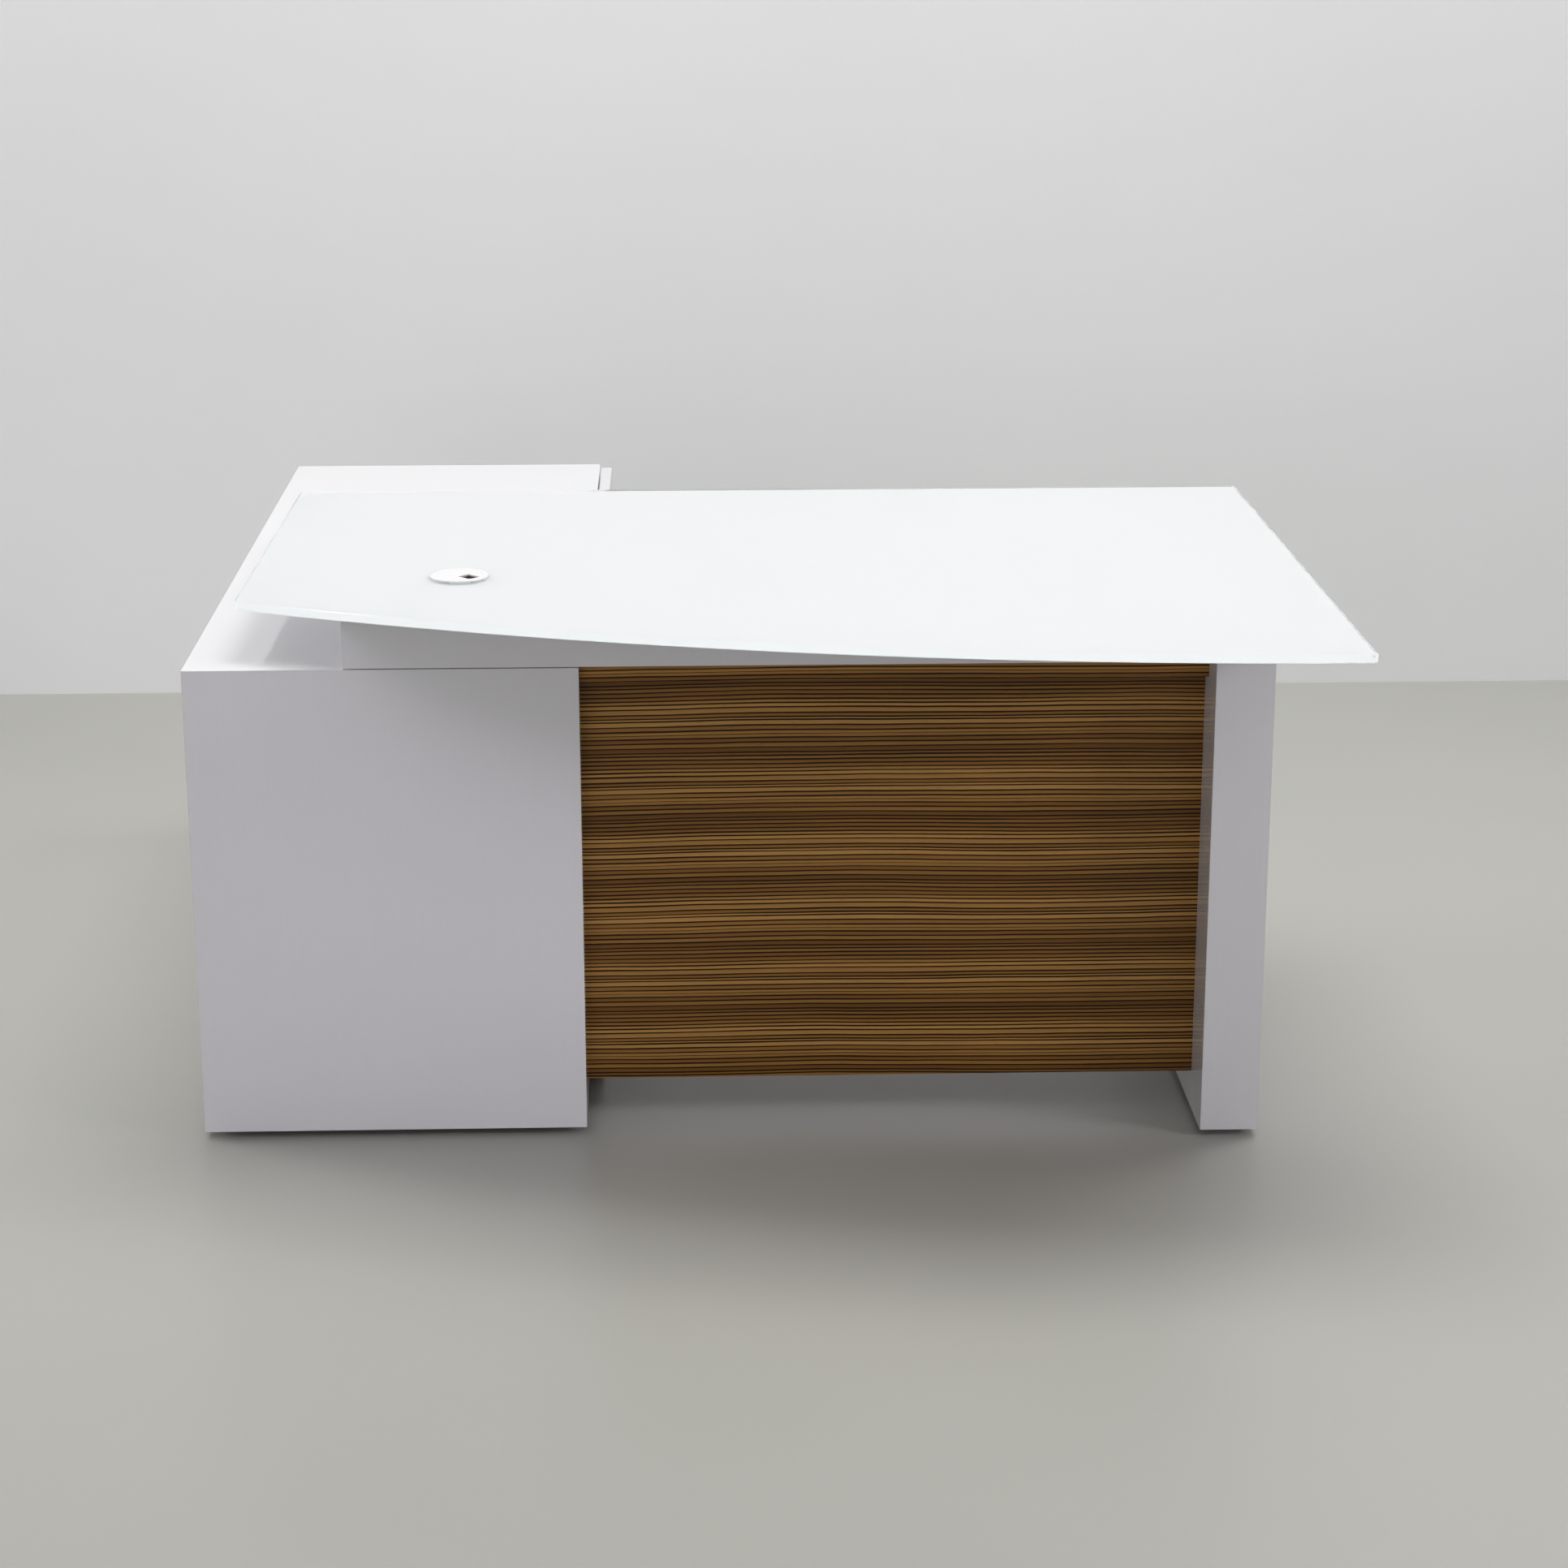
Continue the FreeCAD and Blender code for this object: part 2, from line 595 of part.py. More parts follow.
gsk.addGeometry(Part.Circle(V(gx.number, gy.number, 0), V(0, 0, 1), S.grom_hole_r.number), False)
for a, b in ((0, 1), (1, 2), (2, 3), (3, 0)):
    gsk.addConstraint(Sketcher.Constraint("Coincident", a, 2, b, 1))
gsk.addConstraint(Sketcher.Constraint("Vertical", 0))
gsk.addConstraint(Sketcher.Constraint("Horizontal", 1))
fix_point(gsk, 0, 1, g_w, 0)
fix_point(gsk, 1, 2, S.glass_in, g_d)
gsk.addConstraint(Sketcher.Constraint("PointOnObject", 2, 2, -2))
gsk.addConstraint(Sketcher.Constraint("Vertical", 3, 3, 0, 1))
i = gsk.addConstraint(Sketcher.Constraint("Radius", 3, r))
gsk.setExpression("Constraints[%d]" % i, S.arc_r.formula)
fix_point(gsk, 4, 3, gx, gy)
i = gsk.addConstraint(Sketcher.Constraint("Radius", 4, S.grom_hole_r.number))
gsk.setExpression("Constraints[%d]" % i, S.grom_hole_r.formula)
gpad = pad(glass, gsk, S.glass_t, "glass_sheet")
doc.recompute()
upright = []
for n, edge in enumerate(gpad.Shape.Edges, start=1):
    if edge.Curve.TypeId == "Part::GeomLine":
        a, b = edge.Vertexes[0].Point, edge.Vertexes[-1].Point
        if abs(a.z - b.z) > 1 and math.hypot(a.x - gx.number, a.y - gy.number) > 60:
            upright.append("Edge%d" % n)
gfil = glass.newObject("PartDesign::Fillet", "glass_corners")
gfil.Base = (gpad, upright)
bind(gfil, "Radius", S.corner_r)
doc.recompute()
around = []
for n, edge in enumerate(gfil.Shape.Edges, start=1):
    box_e = edge.BoundBox
    if box_e.ZLength < 0.01:
        far = math.hypot(box_e.Center.x - gx.number, box_e.Center.y - gy.number)
        if far > 5:
            around.append("Edge%d" % n)
gcham = glass.newObject("PartDesign::Chamfer", "glass_arris")
gcham.Base = (gfil, around)
bind(gcham, "Size", S.arris_w)
put(glass, S.glass_l, S.glass_f, S.top_h - S.glass_t)
node("glass_top", glass)

pad_disc = doc.addObject("Part::Cylinder", "glass_pad")
bind(pad_disc, "Radius", S.pad_r)
bind(pad_disc, "Height", S.pad_t)
leg_mid = S.leg_x + S.leg_w / 2
disc_spots = [(300, T / 2), (809, T / 2), (1250, T / 2), (300, S.apron_rear_y + T / 2),
              (809, S.apron_rear_y + T / 2), (1250, S.apron_rear_y + T / 2),
              (S.apron_l + T / 2, 330), (S.apron_mid_x + T / 2, 330), (leg_mid, 30),
              (leg_mid, 350), (leg_mid, 670)]
pads = [linked(pad_disc, spot(x, y, FRAME_TOP)) for x, y in disc_spots]
for link, (x, y) in zip(pads, disc_spots):
    bind(link, "Placement.Base.z", FRAME_TOP)
group("glass_pads", pads)

# --------------------------------------------------------------- cable grommet
lb = S.liner_low                                    # height of the glass face
liner = revolved("grommet_liner_body", [
    (S.ledge_r, lb - S.ledge_t - 0.5), (S.ledge_r, lb - 0.5), (S.liner_in_r, lb - 0.5),
    (S.liner_in_r, lb + S.flange_t), (S.flange_r - 1.5, lb + S.flange_t),
    (S.flange_r, lb + S.flange_t - 1.5), (S.flange_r, lb), (S.liner_r, lb), (S.liner_r, 0),
    (S.liner_in_r, 0), (S.liner_in_r, lb - S.ledge_t - 0.5)])
put(liner, S.grom_x, S.grom_y, S.top_h - lb)
node("grommet_liner", liner)

cap = doc.addObject("PartDesign::Body", "grommet_cap_body")
csk = sketch_on(cap, "XZ_Plane", "cap_profile")
outline(csk, [(0, 0), (S.cap_r, 0), (S.cap_r, S.cap_t - 0.6), (S.cap_r - 0.6, S.cap_t),
              (0, S.cap_t)])
cturn = cap.newObject("PartDesign::Revolution", "cap_turned")
cturn.Profile = csk
cturn.ReferenceAxis = (csk, ["V_Axis"])
cturn.Angle = 360.0
nsk = sketch_on(cap, "XY_Plane", "cap_notch_outline")
nx0, nx1, nw = S.notch_in.number, S.cap_r.number + 3, S.notch_w.number / 2
for a, b in (((nx0, -nw), (nx1, -nw)), ((nx1, -nw), (nx1, nw)), ((nx1, nw), (nx0, nw)),
             ((nx0, nw), (nx0, -nw))):
    nsk.addGeometry(Part.LineSegment(V(a[0], a[1], 0), V(b[0], b[1], 0)), False)
for a in range(4):
    nsk.addConstraint(Sketcher.Constraint("Coincident", a, 2, (a + 1) % 4, 1))
for a, kind in ((0, "Horizontal"), (1, "Vertical"), (2, "Horizontal")):
    nsk.addConstraint(Sketcher.Constraint(kind, a))
nsk.addConstraint(Sketcher.Constraint("Symmetric", 3, 1, 3, 2, -1))
i = nsk.addConstraint(Sketcher.Constraint("DistanceY", 3, 2, 3, 1, 2 * nw))
nsk.setExpression("Constraints[%d]" % i, S.notch_w.formula)
i = nsk.addConstraint(Sketcher.Constraint("DistanceX", -1, 1, 3, 1, nx0))
nsk.setExpression("Constraints[%d]" % i, S.notch_in.formula)
i = nsk.addConstraint(Sketcher.Constraint("DistanceX", -1, 1, 0, 2, nx1))
nsk.setExpression("Constraints[%d]" % i, (S.cap_r + 3).formula)
notch = cap.newObject("PartDesign::Pocket", "cap_notch")
notch.Profile = nsk
notch.Type = "ThroughAll"
notch.Midplane = True
put(cap, S.grom_x, S.grom_y, S.top_h - 0.5 + S.cap_gap, Rot(V(0, 0, 1), -43))
node("grommet_cap", cap)

# ------------------------------------------------------------ telescopic runners
def channel(name, height, depth):
    """A C section in the YZ plane with its back on y = 0, padded along X."""
    body = doc.addObject("PartDesign::Body", name)
    sk = sketch_on(body, "YZ_Plane", name + "_section")
    t = S.slide_t
    outline(sk, [(0, 0), (depth, 0), (depth, t), (t, t), (t, height - t), (depth, height - t),
                 (depth, height), (0, height)])
    pad(body, sk, S.slide_len, name + "_rolled")
    return body


runner_out = channel("runner_cabinet", S.slide_out_h, S.slide_out_d)
runner_mid = channel("runner_middle", S.slide_mid_h, S.slide_mid_d)
runner_in = channel("runner_drawer", S.slide_in_h, S.slide_in_d)

# ------------------------------------------------------------------ bar handle
bar = doc.addObject("Part::Box", "handle_bar")
bind(bar, "Length", S.bar_t)
bind(bar, "Width", S.bar_w)
bind(bar, "Height", S.bar_l)
bind(bar, "Placement.Base.x", S.bar_out - S.bar_t)
bind(bar, "Placement.Base.y", -S.bar_w / 2)
bind(bar, "Placement.Base.z", -S.bar_l / 2)
bar_soft = doc.addObject("Part::Fillet", "handle_bar_soft")
doc.recompute()
bar_soft.Base = bar
bar_soft.Edges = [(n, 1.2, 1.2) for n in range(1, 13)]
posts, post_holes = [], []
for side in (-1, 1):
    post = doc.addObject("Part::Cylinder", "handle_post")
    bind(post, "Radius", S.post_r)
    bind(post, "Height", S.bar_out - S.bar_t / 2)
    post.Placement = Place(V(0, 0, side * S.post_gap.number / 2), Rot(V(0, 1, 0), 90))
    bind(post, "Placement.Base.z", side * S.post_gap / 2)
    posts.append(post)
    hole = doc.addObject("Part::Cylinder", "handle_thread")
    bind(hole, "Radius", S.bolt_hole)
    bind(hole, "Height", 14)
    hole.Placement = Place(V(-1, 0, side * S.post_gap.number / 2), Rot(V(0, 1, 0), 90))
    bind(hole, "Placement.Base.z", side * S.post_gap / 2)
    post_holes.append(hole)
handle_fuse = doc.addObject("Part::MultiFuse", "handle_blank")
handle_fuse.Shapes = [bar_soft] + posts
handle_drill = doc.addObject("Part::Compound", "handle_drilling")
handle_drill.Links = post_holes
handle = doc.addObject("Part::Cut", "bar_handle")
handle.Base = handle_fuse
handle.Tool = handle_drill


def bolt(name, length):
    """A pan-head machine screw along X, its head on the -X side of x = 0."""
    stem = doc.addObject("Part::Cylinder", name + "_stem")
    bind(stem, "Radius", S.bolt_r)
    bind(stem, "Height", length)
    stem.Placement = Place(V(0, 0, 0), Rot(V(0, 1, 0), 90))
    top = doc.addObject("Part::Cylinder", name + "_head")
    bind(top, "Radius", S.bolt_head_r)
    bind(top, "Height", S.bolt_head_t)
    top.Placement = Place(V(0, 0, 0), Rot(V(0, 1, 0), -90))
    both = doc.addObject("Part::MultiFuse", name)
    both.Shapes = [stem, top]
    return both


bolt_drawer = bolt("drawer_bolt", S.side_t + S.front_t + 11)
bolt_door = bolt("door_bolt", S.front_t + 8)

# --------------------------------------------------------------------- drawers
bay_low, bay_high = S.div_mid_y + T, S.div_rear_y
draw_low, draw_high = bay_low + S.slide_w, bay_high - S.slide_w
face_low = S.div_mid_y + T / 2 + S.reveal / 2
face_high = S.div_rear_y + T / 2 - S.reveal / 2
inner_low, inner_high = draw_low + S.side_t, draw_high - S.side_t
box_mid = (bay_low + bay_high) / 2
stack = (("drawer_top", 504, 160, 520, 116), ("drawer_middle", 341, 160, 357, 116),
         ("drawer_file", S.front_low, 326, 40, 250))
cabinet_members = []
for name, face_z, face_h, box_z, box_h in stack:
    face_z, box_z = cell(face_z), cell(box_z)
    grip_z = face_z + face_h - 80 if name == "drawer_file" else face_z + cell(face_h) / 2
    front = box(name + "_front_blank", FRONT_X, face_low, face_z, S.front_t,
                face_high - face_low, face_h)
    sub = box(name + "_subfront_blank", FRONT_X - S.side_t, inner_low, box_z, S.side_t,
              inner_high - inner_low, box_h)
    for side in (-1, 1):
        y = box_mid + side * S.post_gap / 2
        drill(name + "_front", FRONT_X, y, grip_z, (1, 0, 0), S.bolt_hole, S.front_t + 1)
        drill(name + "_subfront", FRONT_X - S.side_t - 1, y, grip_z, (1, 0, 0), S.bolt_hole,
              S.side_t + 2)
    finish(name + "_front", front)
    sub_cut = finish(name + "_subfront", sub)
    del NODES[name + "_subfront"]
    sides = [box(name + "_side", S.box_x, y, box_z, FRONT_X - S.box_x, S.side_t, box_h)
             for y in (draw_low, inner_high)]
    back = box(name + "_back", S.box_x, inner_low, box_z, S.side_t, inner_high - inner_low, box_h)
    group(name + "_box", sides + [back, sub_cut])
    node(name + "_bottom", box(name + "_bottom", S.box_x + S.side_t, inner_low,
                               box_z + S.base_up, FRONT_X - 2 * S.side_t - S.box_x,
                               inner_high - inner_low, S.base_t))
    across = Rot(V(1, 0, 0), 90)
    pull = linked(handle, spot(FRONT_X + S.front_t, box_mid, grip_z, across))
    bolts = [linked(bolt_drawer, spot(FRONT_X - S.side_t, box_mid + side * S.post_gap / 2, grip_z))
             for side in (-1, 1)]
    group(name + "_handle", [pull] + bolts)
    rz = box_z + S.slide_up
    cabinet_members += [
        linked(runner_out, spot(S.slide_x, bay_low, rz - S.slide_out_h / 2)),
        linked(runner_out, spot(S.slide_x, bay_high, rz + S.slide_out_h / 2, Y_FLIP))]
    group(name + "_runner_middle", [
        linked(runner_mid, spot(S.slide_x, bay_low + S.slide_mid_y, rz - S.slide_mid_h / 2)),
        linked(runner_mid, spot(S.slide_x, bay_high - S.slide_mid_y, rz + S.slide_mid_h / 2,
                                Y_FLIP))])
    group(name + "_runner_drawer", [
        linked(runner_in, spot(S.slide_x, draw_low, rz + S.slide_in_h / 2, Y_FLIP)),
        linked(runner_in, spot(S.slide_x, draw_high, rz - S.slide_in_h / 2))])
group("runner_cabinet_members", cabinet_members)
rails = [box("file_rail", S.box_x + S.side_t, box_mid + side * S.file_gap / 2 - 1.5,
             40 + 250 - 16, FRONT_X - 2 * S.side_t - S.box_x, 3, 14) for side in (-1, 1)]
group("drawer_file_rails", rails)

# ---------------------------------------------------------------- door hinges
arm = doc.addObject("PartDesign::Body", "hinge_arm_body")
ask = sketch_on(arm, "XY_Plane", "hinge_arm_outline")
# drawn with the far end of the arm at x = 0 and the pivot at (arm_len, eye_r)
foot0 = S.arm_len - S.arm_foot / 2
foot1 = S.arm_len + S.arm_foot / 2
a_low, a_high = S.eye_r + S.arm_off, S.eye_r + S.arm_off + S.arm_t
outline(ask, [(0, a_low), (foot0, a_low), (foot0, S.eye_r), (foot1, S.eye_r), (foot1, a_high),
              (0, a_high)])
pad(arm, ask, S.arm_h, "hinge_arm_strip", True)
eye = doc.addObject("Part::Cylinder", "hinge_eye")
bind(eye, "Radius", S.eye_r)
bind(eye, "Height", S.arm_h)
bind(eye, "Placement.Base.x", S.arm_len)
bind(eye, "Placement.Base.y", S.eye_r)
bind(eye, "Placement.Base.z", -S.arm_h / 2)
base_plate = doc.addObject("Part::Box", "hinge_base")
bind(base_plate, "Length", 34)
bind(base_plate, "Width", 2.5)
bind(base_plate, "Height", 44)
bind(base_plate, "Placement.Base.x", 2)
bind(base_plate, "Placement.Base.y", a_low)
bind(base_plate, "Placement.Base.z", -22)
arm_fuse = doc.addObject("Part::MultiFuse", "hinge_arm_blank")
arm_fuse.Shapes = [arm, eye, base_plate]
arm_fuse.Refine = True
arm_holes = []
bore = doc.addObject("Part::Cylinder", "hinge_bore")
bind(bore, "Radius", S.eye_bore)
bind(bore, "Height", S.arm_h + 2)
bind(bore, "Placement.Base.x", S.arm_len)
bind(bore, "Placement.Base.y", S.eye_r)
bind(bore, "Placement.Base.z", -S.arm_h / 2 - 1)
arm_holes.append(bore)
for z in (-15, 15):
    hole = doc.addObject("Part::Cylinder", "hinge_base_hole")
    bind(hole, "Radius", S.screw_hole + 0.1)
    bind(hole, "Height", 5)
    hole.Placement = Place(V(19, 0, z), Rot(V(1, 0, 0), -90))
    bind(hole, "Placement.Base.y", a_low - 1)
    arm_holes.append(hole)
arm_drill = doc.addObject("Part::Compound", "hinge_arm_drilling")
arm_drill.Links = arm_holes
hinge_arm = doc.addObject("Part::Cut", "hinge_arm")
hinge_arm.Base = arm_fuse
hinge_arm.Tool = arm_drill

# pot: open towards the cabinet, pin through its upper and lower wall
pot_out = doc.addObject("Part::Box", "pot_block")
bind(pot_out, "Length", S.pot_deep)
bind(pot_out, "Width", S.pot_len)
bind(pot_out, "Height", S.pot_h)
bind(pot_out, "Placement.Base.z", -S.pot_h / 2)
pot_in = doc.addObject("Part::Box", "pot_space")
bind(pot_in, "Length", S.pot_deep)
bind(pot_in, "Width", S.pot_len - 2 * S.pot_wall)
bind(pot_in, "Height", S.pot_h - 2 * S.pot_wall)
bind(pot_in, "Placement.Base.x", -1)
bind(pot_in, "Placement.Base.y", S.pot_wall)
bind(pot_in, "Placement.Base.z", S.pot_wall - S.pot_h / 2)
pot_pin_hole = doc.addObject("Part::Cylinder", "pot_pin_hole")
bind(pot_pin_hole, "Radius", S.hpin_r + 0.02)
bind(pot_pin_hole, "Height", S.pot_h + 2)
bind(pot_pin_hole, "Placement.Base.x", S.pivot_x - FRONT_X)
bind(pot_pin_hole, "Placement.Base.y", S.pivot_in - S.pot_edge)
bind(pot_pin_hole, "Placement.Base.z", -S.pot_h / 2 - 1)
pot_cut = doc.addObject("Part::MultiFuse", "pot_cut")
pot_cut.Shapes = [pot_in, pot_pin_hole]
pot = doc.addObject("Part::Cut", "hinge_pot")
pot.Base = pot_out
pot.Tool = pot_cut
hinge_pin = doc.addObject("Part::Cylinder", "hinge_pin")
bind(hinge_pin, "Radius", S.hpin_r)
bind(hinge_pin, "Height", S.pot_h)

# ----------------------------------------------------------------------- doors
door_h = S.front_top - S.front_low
front_edge = S.div_front_y + 1.5
rear_edge = S.cab_d - 1.5
doors = (("door_front", front_edge, face_low - S.reveal - front_edge, 1, "partition_front"),
         ("door_rear", face_high + S.reveal, rear_edge - face_high - S.reveal, -1,
          "credenza_rear_end"))
arms, arm_screws = [], []
for name, y, width, way, wall in doors:
    leaf = box(name + "_panel_blank", FRONT_X, y, S.front_low, S.front_t, width, door_h)
    hinge_edge = y if way > 0 else y + width
    pivot_y = hinge_edge + way * S.pivot_in
    grip_y = y + width - 40 if way > 0 else y + 40
    flip = Rot() if way > 0 else Y_FLIP
    pots = []
    for z in (S.hinge_lo, S.hinge_hi):
        pots.append(linked(pot, spot(FRONT_X, hinge_edge + way * S.pot_edge, z, flip)))
        pots.append(linked(hinge_pin, spot(S.pivot_x, pivot_y, z - S.pot_h / 2)))
        pot_y = hinge_edge + S.pot_edge if way > 0 else hinge_edge - S.pot_edge - S.pot_len
        recess(name + "_panel", FRONT_X - 1, pot_y, z - S.pot_h / 2, S.pot_deep + 1, S.pot_len,
               S.pot_h)
        seat = spot(S.pivot_x - S.arm_len, pivot_y - way * S.eye_r, z, flip)
        arms.append(linked(hinge_arm, seat))
        for dz in (-15, 15):
            face = a_low.number + 2.5
            arm_screws.append(linked(screw, seat.multiply(Place(V(19, face, dz),
                                                                Rot(V(1, 0, 0), -90)))))
            entry = seat.multVec(V(19, a_low.number, dz))
            drill(wall, entry.x - S.mid_x.number, entry.y - S.mid_y.number, entry.z,
                  (0, -way, 0), S.screw_hole, S.screw_l - 2.5 + 0.5)
    group(name + "_hinge_pots", pots)
    grip_z = cell(470)
    for side in (-1, 1):
        drill(name + "_panel", FRONT_X - 1, grip_y, grip_z + side * S.post_gap / 2, (1, 0, 0),
              S.bolt_hole, S.front_t + 2)
    finish(name + "_panel", leaf)
    pull = linked(handle, spot(FRONT_X + S.front_t, grip_y, grip_z))
    bolts = [linked(bolt_door, spot(FRONT_X, grip_y, grip_z + side * S.post_gap / 2))
             for side in (-1, 1)]
    group(name + "_handle", [pull] + bolts)
group("hinge_arms", arms)
group("hinge_screws", arm_screws)

# ------------------------------------------------- boards with all their holes
finish("credenza_front_end", mitred_front)
finish("credenza_rear_end", mitred_rear)
finish("credenza_outer_side", mitred_side)
finish("credenza_top", mitred_top)
finish("credenza_bottom", bottom)
finish("knee_filler", filler)
for name, blank in partitions.items():
    finish(name, blank)
finish("leg_front", mitred_leg_front)
finish("leg_rear", mitred_leg_rear)
finish("leg_inner", mitred_leg_inner)
finish("leg_outer", mitred_leg_outer)
low_cut = finish("leg_block_low", leg_low)
del NODES["leg_block_low"]
group("leg_blocks", [low_cut, leg_high])
finish("apron_front", apron_front)
finish("apron_rear", apron_rear)
finish("modesty_panel", panel)

# --------------------------------------------------------------- check and save
doc.recompute()
for obj in doc.Objects:
    if "Invalid" in obj.State or "Error" in obj.State:
        raise RuntimeError("%s: %s" % (obj.Label, obj.State))
for name, obj in NODES.items():
    shape = obj.Shape
    if shape.isNull() or not shape.isValid() or not shape.Solids:
        raise RuntimeError("bad shape: " + name)
for stale in os.listdir("parts"):
    if stale.endswith(".step"):
        os.remove(os.path.join("parts", stale))
for name, obj in NODES.items():
    obj.Shape.exportStep("parts/%s.step" % name)
    print(name, len(obj.Shape.Solids), round(obj.Shape.Volume / 1000.0, 2), "cm3")
print(len(NODES), "nodes")
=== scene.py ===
import json
import math

import bmesh
import bpy
from mathutils import Matrix, Vector


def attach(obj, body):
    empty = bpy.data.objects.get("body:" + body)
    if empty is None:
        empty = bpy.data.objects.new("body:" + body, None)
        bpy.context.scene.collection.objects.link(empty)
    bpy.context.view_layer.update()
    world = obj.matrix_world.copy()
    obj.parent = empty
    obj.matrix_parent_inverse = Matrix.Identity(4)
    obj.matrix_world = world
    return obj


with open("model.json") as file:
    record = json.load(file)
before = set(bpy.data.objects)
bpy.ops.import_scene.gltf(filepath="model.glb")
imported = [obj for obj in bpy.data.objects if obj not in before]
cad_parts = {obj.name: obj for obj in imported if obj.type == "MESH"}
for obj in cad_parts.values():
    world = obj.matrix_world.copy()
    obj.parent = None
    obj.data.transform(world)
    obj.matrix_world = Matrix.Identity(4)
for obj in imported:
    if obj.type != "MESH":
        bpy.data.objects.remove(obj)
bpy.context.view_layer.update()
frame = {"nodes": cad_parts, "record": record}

NODES = frame["nodes"]
scene = bpy.context.scene
home = scene.collection

# Everything is in metres in the row frame. The cabinet's left face is at OX and its
# front at OY; measures taken from those two faces are turned into the row frame here.
OX, OY = -0.773, -0.595


def at(x, y, z):
    """A point measured in millimetres from the cabinet's front left foot corner."""
    return Vector((x / 1000 + OX, y / 1000 + OY, z / 1000))


# ---------------------------------------------------------------- camera

YAW, PITCH, ROLL = 0.0334, 0.2813, -0.0007
right = Vector((math.cos(YAW), -math.sin(YAW), 0))
ahead = Vector((math.sin(YAW) * math.cos(PITCH), math.cos(YAW) * math.cos(PITCH), -math.sin(PITCH)))
above = right.cross(ahead)
r2 = math.cos(ROLL) * right + math.sin(ROLL) * above
u2 = -math.sin(ROLL) * right + math.cos(ROLL) * above
lens = bpy.data.cameras.new("camera")
lens.sensor_fit = "HORIZONTAL"
lens.sensor_width = 36.0
lens.lens = 76.08
lens.clip_start, lens.clip_end = 0.05, 200
camera = bpy.data.objects.new("camera", lens)
home.objects.link(camera)
turn = Matrix((r2, u2, -ahead)).transposed().to_4x4()
camera.matrix_world = Matrix.Translation((-0.112, -4.906, 1.7517)) @ turn
scene.camera = camera


# ---------------------------------------------------------------- node materials


